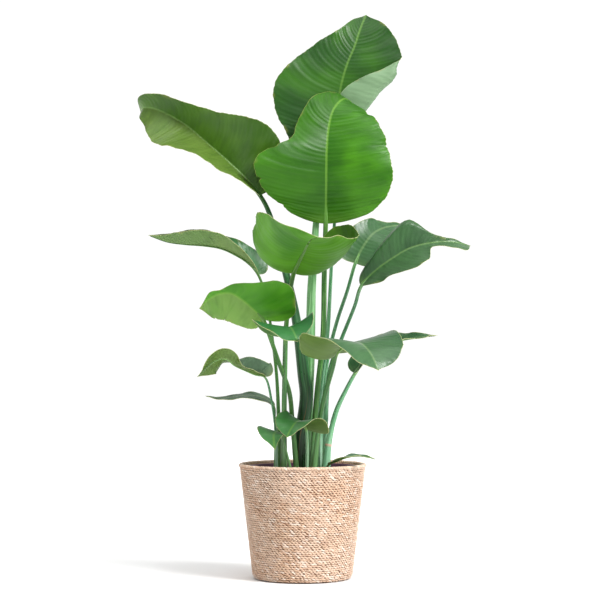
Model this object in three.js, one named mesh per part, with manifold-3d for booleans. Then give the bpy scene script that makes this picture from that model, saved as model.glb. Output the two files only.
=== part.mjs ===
// Potted bird of paradise (Strelitzia) in a round basket of coiled seagrass rope.
//
// Millimetres, +Z up. The origin is the centre of the basket's base, on the surface it stands on,
// and the front of the plant faces -Y. The pieces are the basket, the grower's pot inside it, the
// potting soil, and one solid for each leaf: its stalk, rib and blade are one body, as they grew.
import * as THREE from 'three';
import { mergeVertices } from 'three/addons/utils/BufferGeometryUtils.js';
import Module from 'manifold-3d';

const wasm = await Module();
wasm.setup();

// ---- Driving dimensions -------------------------------------------------------------------

const GAP = 0.4; // clearance between neighbouring solids
const SLIVER = 0.05; // joined solids keep no edge shorter than this

const BASKET = {
  height: 250,
  topRadius: 139,
  footRadius: 109,
  corner: 13, // rounding between the wall and the base
  wall: 8,
  floor: 10,
  rows: 20, // coils of rope up the wall, thicker than life
  groove: 2.2, // depth of the groove between two coils
  strand: 0.7, // how far the strands of a coil stand in and out
  sides: 40,
};

const POT = {
  rimHeight: 243,
  rimRadius: 122,
  footRadius: 92,
  wall: 1.6,
  lip: 4, // how far the rim turns out
  lipDepth: 12,
  sides: 36,
};

const SOIL = {
  height: 230, // level of the soil at the pot's wall
  mound: 4, // how much higher it lies round the stalks
  clumps: 1.2, // height of the lumps on its surface
  rings: 5,
};

const STALK_DEPTH = 60; // how far a stalk reaches into the soil
const STALK_SIDES = 6;
const BLADE_THICKNESS = 1.2;
const RIB_TIP_RADIUS = 1.0;
const FOLD_LENGTH = 0.2; // share of a half blade's width over which a fold turns

// ---- The leaves ---------------------------------------------------------------------------
// stalk: points that the stalk runs through, from the soil to below the blade
// girth: the stalk's radius, at even steps from the soil to the blade
// rolled: a new leaf whose blade is still rolled up round its rib
// rib:   points that the rib runs through, from the foot of the blade to its tip
// face:  the way that the upper side of the blade's foot faces
// twist: how the blade turns about its rib, in degrees, from foot to tip
// left, right: the halves of the blade, seen from above with the tip ahead. width is the half's
//        width, lift the angle at which it rises from the rib, curl how much more it rises by its
//        edge, bend how late that comes, and fold a sharp turn at a share of the width
// sweep: how far the veins lean towards the tip, in degrees
// wave:  height of the waves along the edges, and how many there are
// Every list runs from the foot of the blade to its tip in even steps.

const LEAVES = {
  leaf_crown_back: {
    stalk: [[33, 34, 232], [37, 40, 380], [55, 48, 530], [65, 66, 692], [75, 90, 832]],
    girth: [7, 5, 3.8, 3.6],
    rib: [
      [78, 106, 924], [80, 120, 1004], [85, 134, 1081], [101, 148, 1144], [120, 164, 1192],
      [132, 180, 1230], [147, 204, 1270],
    ],
    face: [0, -1, 0.1],
    twist: [0, 0, 0],
    left: {
      width: [60, 98, 120, 144, 148, 120, 91, 65, 44, 26, 0],
      lift: [8, 5, 5], curl: [0, 0, 0], bend: 1,
    },
    right: {
      width: [70, 110, 138, 160, 180, 190, 140, 112, 81, 48, 0],
      lift: [5, 5, 5], curl: [10, 10, 10], bend: 1,
      fold: { at: [0.2, 0.24, 0.46, 0.63, 1.06, 1.4, 1.5], angle: [150, 160, 165, 165, 160, 0, 0] },
    },
    sweep: [-15, 10, 30], wave: [3, 3],
  },
  leaf_crown_front: {
    stalk: [[21, 4, 232], [30, 8, 380], [45, 17, 527], [48, 29, 661]],
    girth: [6.5, 6.2, 6, 5.4],
    rib: [
      [51, 21, 775], [52, 4, 865], [53, 6, 934], [58, 24, 990], [69, 42, 1030],
      [91, 68, 1056], [109, 92, 1055],
    ],
    face: [0, -1, 0],
    twist: [0, 0, 0],
    left: {
      width: [60, 90, 134, 158, 155, 86, 72, 62, 50, 28, 0],
      lift: [18, 16, 4], curl: [-10, -10, -20], bend: 2,
    },
    right: {
      width: [70, 110, 138, 146, 142, 136, 122, 102, 78, 44, 0],
      lift: [8, 4, 0], curl: [-15, -20, -20], bend: 2,
    },
    sweep: [0, 5, 30], wave: [3, 3],
  },
  leaf_new_rolled: {
    stalk: [[8, 29, 232], [17, 30, 490], [20, 32, 629], [28, 34, 750]],
    girth: [9, 10.3, 10, 7],
    rib: [[32, 36, 806], [34, 37, 861], [37, 39, 917], [39, 42, 966]],
    face: [0, -1, 0.1],
    twist: [0, 0, 0],
    rolled: true,
  },
  leaf_upper_left: {
    stalk: [
      [-7, 2, 232], [-4, 2, 300], [8, 2, 394], [3, 2, 440], [-15, 4, 571], [-35, 8, 661],
      [-74, 12, 800],
    ],
    girth: [13, 15, 14, 11, 9, 7, 5],
    rib: [
      [-93, 14, 836], [-126, 12, 875], [-165, 8, 912], [-210, 6, 952], [-252, 8, 988],
      [-290, 14, 1012], [-325, 22, 1028], [-352, 42, 1033], [-362, 78, 1028],
    ],
    face: [0.56, -0.97, 0.57],
    twist: [0, -25, -50, -60],
    left: {
      width: [60, 84, 92, 92, 88, 86, 86, 84, 64, 34, 0],
      lift: [38, 46, 36, 20], curl: [15, 15, 10], bend: 1,
    },
    right: {
      width: [80, 100, 118, 112, 90, 70, 58, 48, 40, 30, 0],
      lift: [34, 37, 30, 20], curl: [0, 0, 0], bend: 1,
    },
    sweep: [-10, 10, 0, -25], wave: [3, 3],
  },
  leaf_middle_front: {
    stalk: [[-42, -14, 232], [-38, -28, 475], [-36, -40, 540], [-28, -57, 615]],
    girth: [6, 5.5, 5],
    rib: [
      [-19, -71, 662], [-8, -100, 686], [3, -134, 706], [11, -170, 720], [19, -200, 728],
      [32, -225, 731],
    ],
    face: [0, 0.3, 1],
    twist: [0, 0, 0],
    left: {
      width: [146, 204, 202, 150, 106, 72, 40, 0],
      lift: [-22, -22, -22, -12, 0], curl: [155, 134, 74, 40, 16], bend: 1,
    },
    right: {
      width: [100, 138, 144, 142, 128, 100, 58, 0],
      lift: [-16, -4, 0], curl: [116, 84, 20], bend: 1,
    },
    sweep: [-15, 5, 25], wave: [2, 3],
  },
  leaf_middle_left: {
    stalk: [[-50, 16, 232], [-56, 24, 431], [-67, 28, 530], [-80, 30, 612]],
    girth: [5, 4, 3.5],
    rib: [
      [-98, 30, 664], [-120, 28, 690], [-149, 26, 708], [-180, 26, 721], [-217, 30, 727],
      [-258, 40, 730], [-299, 56, 736], [-345, 74, 753],
    ],
    face: [0.2, -0.1, 1],
    twist: [0, 0, 0],
    left: {
      width: [4, 12, 28, 42, 46, 40, 26, 14, 0],
      lift: [40, 45, 45], curl: [10, 10, 10], bend: 1,
    },
    right: {
      width: [34, 42, 40, 36, 44, 40, 30, 16, 0],
      lift: [30, 40, 40], curl: [20, 20, 20], bend: 1,
    },
    sweep: [-50, 10, 35], wave: [2, 3],
  },
  leaf_middle_right_back: {
    stalk: [[38, 58, 232], [52, 62, 452], [75, 64, 554], [100, 68, 629]],
    girth: [5.5, 4.4, 3.8],
    rib: [
      [118, 74, 690], [132, 84, 721], [155, 104, 754], [178, 130, 770], [209, 165, 779],
      [243, 200, 781],
    ],
    face: [0, -0.9, 0.5],
    twist: [0, 0, 0],
    left: {
      width: [50, 56, 44, 34, 14, 10, 0],
      lift: [0, 0, 0], curl: [20, 30, 40], bend: 1,
    },
    right: {
      width: [40, 50, 52, 50, 40, 24, 0],
      lift: [0, 0, 0], curl: [0, 0, 0], bend: 1,
    },
    sweep: [-10, 20, 35], wave: [2, 3],
  },
  leaf_middle_right: {
    stalk: [[48, 18, 232], [60, 16, 453], [86, 12, 523], [114, 6, 593]],
    girth: [6, 4.8, 4.2],
    rib: [
      [129, 0, 638], [164, -8, 673], [199, -14, 698], [234, -16, 718], [274, -14, 729],
      [323, -4, 733], [370, 10, 725],
    ],
    face: [-0.3, -0.6, 0.8],
    twist: [0, 0, 0],
    left: {
      width: [20, 28, 48, 60, 68, 29, 12, 8, 0],
      lift: [35, 45, 35, 10], curl: [0, 0, 10], bend: 1,
      fold: { at: [0.7, 0.7, 0.72, 0.9, 1.3, 1.5], angle: [-50, -65, -65, -40, 0, 0] },
    },
    right: {
      width: [20, 44, 64, 88, 72, 22, 34, 34, 0],
      lift: [10, 10, 10], curl: [0, 0, 0], bend: 1,
    },
    sweep: [0, 20, 35], wave: [2, 3],
  },
  leaf_lower_left: {
    stalk: [
      [-13, -22, 232], [-22, -22, 340], [-29, -38, 407], [-50, -46, 466], [-68, -46, 518],
    ],
    girth: [6, 5, 4.5],
    rib: [
      [-85, -58, 562], [-97, -66, 576], [-111, -72, 589], [-129, -78, 604], [-153, -84, 618],
      [-179, -80, 617], [-204, -64, 604], [-224, -40, 586],
    ],
    face: [-0.25, -0.95, 0.25],
    twist: [0, 0, 0],
    left: {
      width: [20, 40, 52, 58, 62, 54, 36, 0],
      lift: [10, 10, 10], curl: [0, 0, 0], bend: 1,
    },
    right: {
      width: [70, 88, 104, 42, 12, 12, 4, 0],
      lift: [10, 10, 10], curl: [0, 0, 0], bend: 1,
    },
    sweep: [-40, -5, 20], wave: [2, 3],
  },
  leaf_lower_front: {
    stalk: [[-38, -38, 232], [-38, -47, 389], [-36, -68, 497]],
    girth: [5, 4, 3.5],
    rib: [[-38, -84, 525], [-33, -100, 542], [-27, -120, 546], [-19, -140, 535], [-10, -156, 514]],
    face: [0, 0, 1],
    twist: [0, 0, 0],
    left: {
      width: [28, 48, 62, 54, 36, 16, 0],
      lift: [25, 25, 5], curl: [20, 20, 0], bend: 1,
    },
    right: {
      width: [30, 62, 84, 80, 56, 28, 0],
      lift: [-4, -4, 0], curl: [10, 10, 0], bend: 1,
    },
    sweep: [-5, 15, 30], wave: [2, 3],
  },
  leaf_lower_right: {
    stalk: [[24, -24, 232], [42, -44, 372], [64, -56, 458]],
    girth: [7, 5.2, 6],
    rib: [
      [72, -64, 490], [92, -90, 509], [120, -138, 512], [137, -170, 497], [149, -188, 476],
      [157, -198, 454],
    ],
    face: [0, 0, 1],
    twist: [0, 0, 0],
    left: {
      width: [70, 97, 103, 92, 78, 50, 0],
      lift: [6, 8, 8, 8], curl: [5, 5, 0], bend: 1,
    },
    right: {
      width: [96, 116, 126, 100, 72, 40, 0],
      lift: [-56, -16, 14, 8, 8], curl: [100, 50, -5, 0, 0], bend: 1,
    },
    sweep: [-10, 10, 25], wave: [2, 3],
  },
  leaf_lower_right_back: {
    stalk: [[50, -12, 232], [57, -8, 294], [73, 0, 362], [94, 6, 408]],
    girth: [10, 6.8, 5.6, 4.6],
    rib: [[115, 10, 446], [135, 12, 475], [166, 12, 501], [205, 10, 516], [249, 4, 523], [296, 0, 529]],
    face: [-0.3, -0.3, 1],
    twist: [0, 0, 0],
    left: {
      width: [30, 38, 36, 30, 20, 12, 0],
      lift: [20, 20, 20], curl: [0, 0, 0], bend: 1,
    },
    right: {
      width: [30, 42, 45, 40, 30, 16, 0],
      lift: [20, 20, 20], curl: [0, 0, 0], bend: 1,
    },
    sweep: [-10, 20, 45], wave: [2, 3],
  },
  leaf_base_front: {
    stalk: [[9, -44, 232], [10, -52, 296]],
    girth: [4, 3.5, 3],
    rib: [
      [8, -60, 326], [0, -76, 344], [-13, -96, 343], [-25, -112, 328], [-34, -122, 311],
    ],
    face: [0, 0, 1],
    twist: [0, 0, 0],
    left: {
      width: [60, 62, 60, 50, 36, 18, 0],
      lift: [-20, 5, 0], curl: [0, 0, 0], bend: 1,
    },
    right: {
      width: [36, 50, 47, 48, 38, 18, 0],
      lift: [26, 18, 2], curl: [15, 15, 0], bend: 1,
    },
    sweep: [-5, 10, 25], wave: [1, 3],
  },
  leaf_base_front_small: {
    stalk: [[-24, -46, 232], [-36, -56, 281]],
    girth: [3.5, 3, 2.5],
    rib: [[-44, -58, 312], [-53, -68, 321], [-61, -80, 317], [-61, -88, 300], [-59, -92, 283]],
    face: [0, 0, 1],
    twist: [0, 0, 0],
    left: {
      width: [15, 25, 26, 20, 12, 6, 0],
      lift: [0, 0, 0], curl: [0, 0, 0], bend: 1,
    },
    right: {
      width: [26, 46, 48, 28, 14, 6, 0],
      lift: [5, 5, 0], curl: [0, 0, 0], bend: 1,
    },
    sweep: [-10, 10, 30], wave: [1, 3],
  },
  leaf_base_left: {
    stalk: [[-56, -20, 232], [-60, -22, 338], [-66, -22, 379]],
    girth: [3.5, 3, 2.5],
    rib: [
      [-82, -20, 438], [-101, -22, 443], [-123, -24, 452], [-147, -26, 463],
      [-166, -30, 477], [-188, -34, 474], [-207, -38, 460], [-228, -42, 438],
    ],
    face: [-0.1, -0.5, 0.7],
    twist: [0, 0, 0, 70, 85, 85, 85],
    left: {
      width: [10, 18, 20, 20, 25, 24, 13, 0],
      lift: [60, 75, 60, 0, 0], curl: [0, 0, 0], bend: 1,
    },
    right: {
      width: [34, 40, 36, 28, 30, 28, 16, 0],
      lift: [25, 25, 0, -45, -45], curl: [0, 0, 0], bend: 1,
    },
    sweep: [-50, 5, 35], wave: [1, 3],
  },
  leaf_base_left_thin: {
    stalk: [[-60, 4, 232], [-60, 4, 344]],
    girth: [3, 2.5, 2],
    rib: [
      [-62, 4, 374], [-80, 6, 389], [-106, 8, 397], [-137, 10, 396], [-177, 14, 391],
      [-215, 18, 396],
    ],
    face: [-0.1, -0.12, 1],
    twist: [0, 0, 0],
    left: {
      width: [10, 18, 20, 18, 14, 8, 0],
      lift: [0, 0, 0], curl: [0, 0, 0], bend: 1,
    },
    right: {
      width: [10, 18, 20, 18, 14, 8, 0],
      lift: [0, 0, 0], curl: [0, 0, 0], bend: 1,
    },
    sweep: [-10, 20, 45], wave: [1, 3],
  },
  leaf_base_right: {
    stalk: [[48, -46, 232]],
    girth: [3.5, 3],
    rib: [
      [57, -62, 252], [76, -74, 261], [95, -84, 268], [116, -92, 271], [137, -100, 269],
      [158, -106, 265],
    ],
    face: [-0.1, -0.2, 1],
    twist: [0, 0, 0],
    left: {
      width: [10, 16, 18, 16, 12, 6, 0],
      lift: [10, 10, 10], curl: [0, 0, 0], bend: 1,
    },
    right: {
      width: [10, 16, 18, 16, 12, 6, 0],
      lift: [10, 10, 10], curl: [0, 0, 0], bend: 1,
    },
    sweep: [-10, 20, 45], wave: [1, 3],
  },
};

// ---- Helpers ------------------------------------------------------------------------------

const radians = THREE.MathUtils.degToRad;
const point = ([x, y, z]) => new THREE.Vector3(x, y, z);

// The value at u, from 0 to 1, on a smooth curve through a list of values at even steps.
function along(values, u) {
  const place = THREE.MathUtils.clamp(u, 0, 1) * (values.length - 1);
  const i = Math.min(Math.floor(place), values.length - 2);
  const t = place - i;
  const before = values[Math.max(i - 1, 0)];
  const from = values[i];
  const to = values[i + 1];
  const after = values[Math.min(i + 2, values.length - 1)];
  const slope = to - before;
  const square = 2 * before - 5 * from + 4 * to - after;
  const cube = 3 * (from - to) + after - before;
  return from + 0.5 * t * (slope + t * (square + t * cube));
}

// A three.js geometry as a manifold solid, turned right side out.
function solid(geometry) {
  const plain = geometry.clone();
  plain.deleteAttribute('normal');
  plain.deleteAttribute('uv');
  const merged = mergeVertices(plain, 1e-4);
  const places = merged.attributes.position;
  const corners = merged.index.array;
  const a = new THREE.Vector3();
  const b = new THREE.Vector3();
  const c = new THREE.Vector3();
  const faces = [];
  let volume = 0;
  for (let k = 0; k < corners.length; k += 3) {
    const face = [corners[k], corners[k + 1], corners[k + 2]];
    if (face[0] === face[1] || face[1] === face[2] || face[2] === face[0]) continue;
    a.fromBufferAttribute(places, face[0]);
    b.fromBufferAttribute(places, face[1]);
    c.fromBufferAttribute(places, face[2]);
    volume += a.dot(b.cross(c));
    faces.push(...face);
  }
  if (volume < 0) faces.reverse();
  return new wasm.Manifold(new wasm.Mesh({
    numProp: 3,
    vertProperties: new Float32Array(places.array),
    triVerts: new Uint32Array(faces),
  }));
}

// Two solids as one body, without slivers and without pockets shut in between their curved sides.
function joined(one, other) {
  const pieces = one.add(other).simplify(SLIVER).decompose();
  return pieces.reduce((whole, piece) => (piece.volume() > whole.volume() ? piece : whole));
}

// A manifold solid as a three.js geometry.
function geometryOf(body) {
  const mesh = body.getMesh();
  const geometry = new THREE.BufferGeometry();
  geometry.setAttribute('position', new THREE.BufferAttribute(mesh.vertProperties, 3));
  geometry.setIndex(new THREE.BufferAttribute(mesh.triVerts, 1));
  geometry.computeVertexNormals();
  return geometry;
}

// ---- Leaf shape ---------------------------------------------------------------------------

const RIB_FRAMES = 80;
const CURVE_SAMPLES = 600;
const WIDTH_STEPS = 6; // steps from one column of points to the next in which the bend is summed up

// Points at even distances along part of a curve.
function evenPoints(curve, from, to, count) {
  const samples = [];
  const lengths = [0];
  for (let k = 0; k <= CURVE_SAMPLES; k++) {
    samples.push(curve.getPoint(THREE.MathUtils.lerp(from, to, k / CURVE_SAMPLES)));
    if (k > 0) lengths.push(lengths[k - 1] + samples[k].distanceTo(samples[k - 1]));
  }
  const points = [];
  let k = 0;
  for (let i = 0; i <= count; i++) {
    const want = (lengths[CURVE_SAMPLES] * i) / count;
    while (k < CURVE_SAMPLES - 1 && lengths[k + 1] < want) k++;
    const share = (want - lengths[k]) / (lengths[k + 1] - lengths[k]);
    points.push(samples[k].clone().lerp(samples[k + 1], share));
  }
  return points;
}

// Place, direction and upper side at each point of a path, carried along without turning.
function carriedFrames(points, face) {
  let up = point(face);
  return points.map((place, i) => {
    const before = points[Math.max(i - 1, 0)];
    const after = points[Math.min(i + 1, points.length - 1)];
    const ahead = after.clone().sub(before).normalize();
    up = up.clone().addScaledVector(ahead, -up.dot(ahead)).normalize();
    return { place, ahead, up, right: ahead.clone().cross(up) };
  });
}

function frameAt(frames, u) {
  const place = THREE.MathUtils.clamp(u, 0, 1) * (frames.length - 1);
  const i = Math.min(Math.floor(place), frames.length - 2);
  const mix = (part) => frames[i][part].clone().lerp(frames[i + 1][part], place - i);
  return {
    place: mix('place'),
    ahead: mix('ahead').normalize(),
    up: mix('up').normalize(),
    right: mix('right').normalize(),
  };
}

// The frames of a leaf: its rib from foot to tip, and its stalk from the soil to the foot.
function leafFrames(leaf) {
  const points = [...leaf.stalk, ...leaf.rib].map(point);
  const spine = new THREE.CatmullRomCurve3(points, false, 'centripetal');
  const foot = leaf.stalk.length / (points.length - 1);
  const rib = carriedFrames(evenPoints(spine, foot, 1, RIB_FRAMES), leaf.face);
  rib.forEach((frame, i) => {
    const turn = radians(along(leaf.twist, i / RIB_FRAMES));
    frame.up = frame.up.clone().applyAxisAngle(frame.ahead, turn);
    frame.right = frame.ahead.clone().cross(frame.up);
  });
  const stalk = carriedFrames(evenPoints(spine, foot, 0, RIB_FRAMES), leaf.face).reverse();
  for (const frame of stalk) {
    frame.ahead.negate();
    frame.right.negate();
  }
  return { rib, stalk };
}

const FOOT_SHARE = 0.09; // share of the blade's length over which its foot is rounded

function halfWidth(half, u) {
  const rounding = u < FOOT_SHARE ? Math.sqrt(1 - (1 - u / FOOT_SHARE) ** 2) : 1;
  return Math.max(along(half.width, u), 0) * rounding;
}

// How far a half blade has turned up from the rib's own right and left, at a share of its width.
function turnAt(half, u, share) {
  let turn = along(half.lift, u) + along(half.curl, u) * share ** half.bend;
  if (half.fold) {
    const t = (share - along(half.fold.at, u)) / FOLD_LENGTH + 0.5;
    turn += along(half.fold.angle, u) * THREE.MathUtils.smoothstep(t, 0, 1);
  }
  return radians(turn);
}

// The shares of a half blade's width at which its columns of points lie. With a fold, one column
// lies on each side of it all along the blade.
function columnShares(half, u, count) {
  const even = Array.from({ length: count }, (_, j) => (j + 1) / count);
  if (!half.fold) return even;
  const at = THREE.MathUtils.clamp(along(half.fold.at, u), FOLD_LENGTH, 1 - FOLD_LENGTH);
  const inner = Math.round(count / 2);
  return even.map((_, j) => {
    if (j < inner) return (at - FOLD_LENGTH / 2) * ((j + 1) / inner);
    return at + FOLD_LENGTH / 2 + (1 - at - FOLD_LENGTH / 2) * ((j - inner) / (count - 1 - inner));
  });
}

const WAVE_SHIFT = 0.35; // how far the waves of the right edge run ahead of the left edge's

// Points from beside the rib to the edge of one half blade: side is -1 for left, 1 for right.
function halfRow(leaf, ribFrames, u, side, count) {
  const half = side < 0 ? leaf.left : leaf.right;
  const frame = frameAt(ribFrames, u);
  const sweep = radians(along(leaf.sweep, u));
  const out = frame.right.clone().multiplyScalar(side * Math.cos(sweep));
  out.addScaledVector(frame.ahead, Math.sin(sweep));
  const [waveHeight, waves] = leaf.wave;
  const calm = Math.min(1, 6 * u, 6 * (1 - u)); // no waves at the foot and the tip
  const phase = 2 * Math.PI * (waves * u + (side > 0 ? WAVE_SHIFT : 0));
  const width = halfWidth(half, u);
  const place = frame.place.clone();
  let from = 0;
  return columnShares(half, u, count).map((to) => {
    const step = (to - from) / WIDTH_STEPS;
    for (let k = 0; k < WIDTH_STEPS; k++) {
      const turn = turnAt(half, u, from + (k + 0.5) * step);
      place.addScaledVector(out, width * step * Math.cos(turn));
      place.addScaledVector(frame.up, width * step * Math.sin(turn));
    }
    from = to;
    const lean = turnAt(half, u, to);
    const ripple = waveHeight * to * to * Math.sin(phase) * calm;
    const waved = place.clone().addScaledVector(out, -ripple * Math.sin(lean));
    return waved.addScaledVector(frame.up, ripple * Math.cos(lean));
  });
}

// The blade's rows of points from foot to tip, each from the left edge over the rib to the right.
function bladeRows(leaf, ribFrames, rows, count) {
  const grid = [];
  for (let i = 0; i <= rows; i++) {
    const even = i / rows;
    const eased = 0.5 - 0.5 * Math.cos(Math.PI * even); // closer rows at the foot and the tip
    const u = 0.5 * (even + eased);
    const left = halfRow(leaf, ribFrames, u, -1, count).reverse();
    grid.push([...left, frameAt(ribFrames, u).place, ...halfRow(leaf, ribFrames, u, 1, count)]);
  }
  return grid;
}

// A blade of even thickness. Both faces are split into triangles alike, and the foot and the tip
// are single points.
function bladeGeometry(leaf, ribFrames, rows, count) {
  const grid = bladeRows(leaf, ribFrames, rows, count);
  const width = grid[0].length;
  const last = grid.length - 1;
  const middle = count;
  const ends = [grid[0][middle], grid[last][middle]];
  const positions = [];
  const spans = [new THREE.Vector3(), new THREE.Vector3()];
  const put = (place, up) => {
    const shift = up.clone().multiplyScalar(BLADE_THICKNESS / 2);
    positions.push(...place.clone().add(shift).toArray(), ...place.clone().sub(shift).toArray());
    return positions.length / 3 - 2;
  };
  const index = grid.map((row, i) => row.map((place, j) => {
    if (i === 0 || i === last) return 0;
    spans[0].subVectors(row[Math.min(j + 1, width - 1)], row[Math.max(j - 1, 0)]);
    const before = i === 1 ? ends[0] : grid[i - 1][j];
    const after = i === last - 1 ? ends[1] : grid[i + 1][j];
    spans[1].subVectors(after, before);
    return put(place, spans[0].clone().cross(spans[1]).normalize());
  }));
  const tips = [put(ends[0], ribFrames[0].up), put(ends[1], ribFrames[RIB_FRAMES].up)];
  index[0].fill(tips[0]);
  index[last].fill(tips[1]);

  // Each number in index is the upper point; the lower point under it is the next one.
  const faces = [];
  const sheet = (a, b, c) => {
    if (a === b || b === c || c === a) return;
    faces.push(a, b, c, a + 1, c + 1, b + 1);
  };
  const wall = (a, b) => {
    if (a !== b) faces.push(b, a, a + 1, b, a + 1, b + 1);
  };
  for (let i = 0; i < last; i++) {
    for (let j = 0; j < width - 1; j++) {
      const [a, b, c, d] = [index[i][j], index[i][j + 1], index[i + 1][j + 1], index[i + 1][j]];
      if (j < middle) {
        sheet(a, b, c);
        sheet(a, c, d);
      } else {
        sheet(a, b, d);
        sheet(b, c, d);
      }
    }
    wall(index[i + 1][0], index[i][0]);
    wall(index[i][width - 1], index[i + 1][width - 1]);
  }
  const geometry = new THREE.BufferGeometry();
  geometry.setAttribute('position', new THREE.Float32BufferAttribute(positions, 3));
  geometry.setIndex(faces);
  return geometry;
}

// A round bar through a list of frames, each with its own radius: a cylinder bent along them.
function barGeometry(frames, sides) {
  const steps = frames.length - 1;
  const turn = Math.PI / sides; // a flat side faces up, so that no corner runs along the blade's middle
  const geometry = new THREE.CylinderGeometry(1, 1, 1, sides, steps, false, turn);
  const places = geometry.attributes.position;
  const at = new THREE.Vector3();
  for (let k = 0; k < places.count; k++) {
    at.fromBufferAttribute(places, k);
    const frame = frames[Math.round((at.y + 0.5) * steps)];
    const moved = frame.place.clone().addScaledVector(frame.right, at.x * frame.radius);
    moved.addScaledVector(frame.up, at.z * frame.radius);
    places.setXYZ(k, moved.x, moved.y, moved.z);
  }
  return geometry;
}

// The frames of a leaf's stalk, from its end in the soil up to the blade. extra widens it.
function stalkFrames(leaf, frames, steps, extra) {
  const first = frames.stalk[0];
  const under = { ...first, place: first.place.clone() };
  under.place.z -= STALK_DEPTH + extra;
  const bar = [{ ...under, radius: leaf.girth[0] + extra }];
  for (let i = 0; i <= steps; i++) {
    const u = i / steps;
    bar.push({ ...frameAt(frames.stalk, u), radius: along(leaf.girth, u) + extra });
  }
  return bar;
}

const RIB_REACH = 0.97; // share of the blade's length that the rib stands out along
const RIB_FOOT = 0.85; // radius of the rib's foot, as a share of the stalk's
const RIB_TAPER = 0.8; // under 1, the rib stays thick for longer
const RIB_SINK = 0.5; // how far the rib lies under the blade, as a share of its radius
const SINK_SHARE = 1 / 8; // share of the blade's length over which it sinks that far

// The frames of the rib under the blade, thinning towards the tip.
function ribBarFrames(leaf, frames, steps) {
  const thick = leaf.girth[leaf.girth.length - 1];
  const bar = [];
  for (let i = 1; i <= steps; i++) {
    const u = (RIB_REACH * i) / steps;
    const frame = frameAt(frames.rib, u);
    const radius = Math.max(RIB_FOOT * thick * (1 - u) ** RIB_TAPER, RIB_TIP_RADIUS);
    const sink = RIB_SINK * radius * Math.min(u / SINK_SHARE, 1);
    frame.place.addScaledVector(frame.up, -sink);
    bar.push({ ...frame, radius });
  }
  return bar;
}

// Lengths of one step along the stalk, the rib and the blade, and the least and most steps.
const STEPS = {
  stalk: { length: 55, least: 3, most: 9 },
  rib: { length: 40, least: 4, most: 8 },
  blade: { length: 26, least: 8, most: 14 },
};
const WIDE_BLADE = 150; // blades longer than this have 4 columns of points in each half, others 3
const ROLLED_TAPER = 0.85; // how much of its thickness a rolled leaf loses by its tip

const curveLength = (points) => new THREE.CatmullRomCurve3(points.map(point)).getLength();

function stepsAlong(length, kind) {
  return Math.round(THREE.MathUtils.clamp(length / kind.length, kind.least, kind.most));
}

// A whole leaf: stalk and rib are one bar, and the blade is joined to it.
function leafGeometry(leaf) {
  const frames = leafFrames(leaf);
  const length = curveLength(leaf.rib);
  const stalkSteps = stepsAlong(curveLength([...leaf.stalk, leaf.rib[0]]), STEPS.stalk);
  const ribSteps = stepsAlong(length, STEPS.rib);
  const bar = stalkFrames(leaf, frames, stalkSteps, 0);
  if (leaf.rolled) {
    const thick = leaf.girth[leaf.girth.length - 1];
    for (let i = 1; i <= ribSteps; i++) {
      const u = i / ribSteps;
      bar.push({ ...frameAt(frames.rib, u), radius: thick * (1 - ROLLED_TAPER * u * u) });
    }
    return geometryOf(solid(barGeometry(bar, STALK_SIDES)));
  }
  bar.push(...ribBarFrames(leaf, frames, ribSteps));
  const across = length > WIDE_BLADE ? 4 : 3;
  const blade = solid(bladeGeometry(leaf, frames.rib, stepsAlong(length, STEPS.blade), across));
  return geometryOf(joined(solid(barGeometry(bar, STALK_SIDES)), blade));
}

// ---- Basket, pot and soil -----------------------------------------------------------------

// A closed body of revolution from [radius, height] pairs, standing on +Z.
function turned(profile, sides) {
  const points = profile.map(([r, z]) => new THREE.Vector2(r, z));
  return new THREE.LatheGeometry(points, sides).rotateX(Math.PI / 2);
}

const wallRadius = (part, height, z) => THREE.MathUtils.lerp(part.footRadius, part.topRadius, z / height);

const CHAMFER = 0.3; // how far in the middle of the rounding lies, as a share of its size
const FIRST_COIL = 4; // place of the lowest coil's outermost point in the profile

// The outer profile is one ridge for each coil of rope, from the foot to the rim.
function basketGeometry() {
  const { height, corner, footRadius, rows, groove, wall, floor } = BASKET;
  const radius = (z) => wallRadius(BASKET, height, z);
  const profile = [[0, 0], [footRadius - corner, 0]];
  profile.push([footRadius - CHAMFER * corner, CHAMFER * corner]);
  const pitch = (height - corner) / rows;
  for (let k = 0; k < rows; k++) {
    const low = corner + k * pitch;
    profile.push([radius(low) - groove, low], [radius(low + pitch / 2), low + pitch / 2]);
  }
  profile.push([radius(height) - wall / 2, height]);
  profile.push([radius(height) - wall - groove / 2, height - pitch / 2]);
  profile.push([radius(floor) - wall - groove, floor], [0, floor]);
  const geometry = turned(profile, BASKET.sides);
  const places = geometry.attributes.position;
  for (let i = 0; i <= BASKET.sides; i++) {
    for (let k = 0; k < rows; k++) {
      const at = i * profile.length + FIRST_COIL + 2 * k;
      const push = 1 + ((i + k) % 2 ? BASKET.strand : -BASKET.strand) / BASKET.topRadius;
      places.setXYZ(at, places.getX(at) * push, places.getY(at) * push, places.getZ(at));
    }
  }
  return geometry;
}

const POT_FLOOR = BASKET.floor + GAP;

function potRadius(z) {
  const share = (z - POT_FLOOR) / (POT.rimHeight - POT_FLOOR);
  return THREE.MathUtils.lerp(POT.footRadius, POT.rimRadius, share);
}

function potGeometry() {
  const lipFoot = POT.rimHeight - POT.lipDepth;
  const profile = [
    [0, POT_FLOOR],
    [potRadius(POT_FLOOR), POT_FLOOR],
    [potRadius(lipFoot), lipFoot],
    [potRadius(lipFoot) + POT.lip, lipFoot],
    [POT.rimRadius + POT.lip, POT.rimHeight],
    [POT.rimRadius - POT.wall, POT.rimHeight],
    [potRadius(POT_FLOOR + POT.wall) - POT.wall, POT_FLOOR + POT.wall],
    [0, POT_FLOOR + POT.wall],
  ];
  return turned(profile, POT.sides);
}

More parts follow.
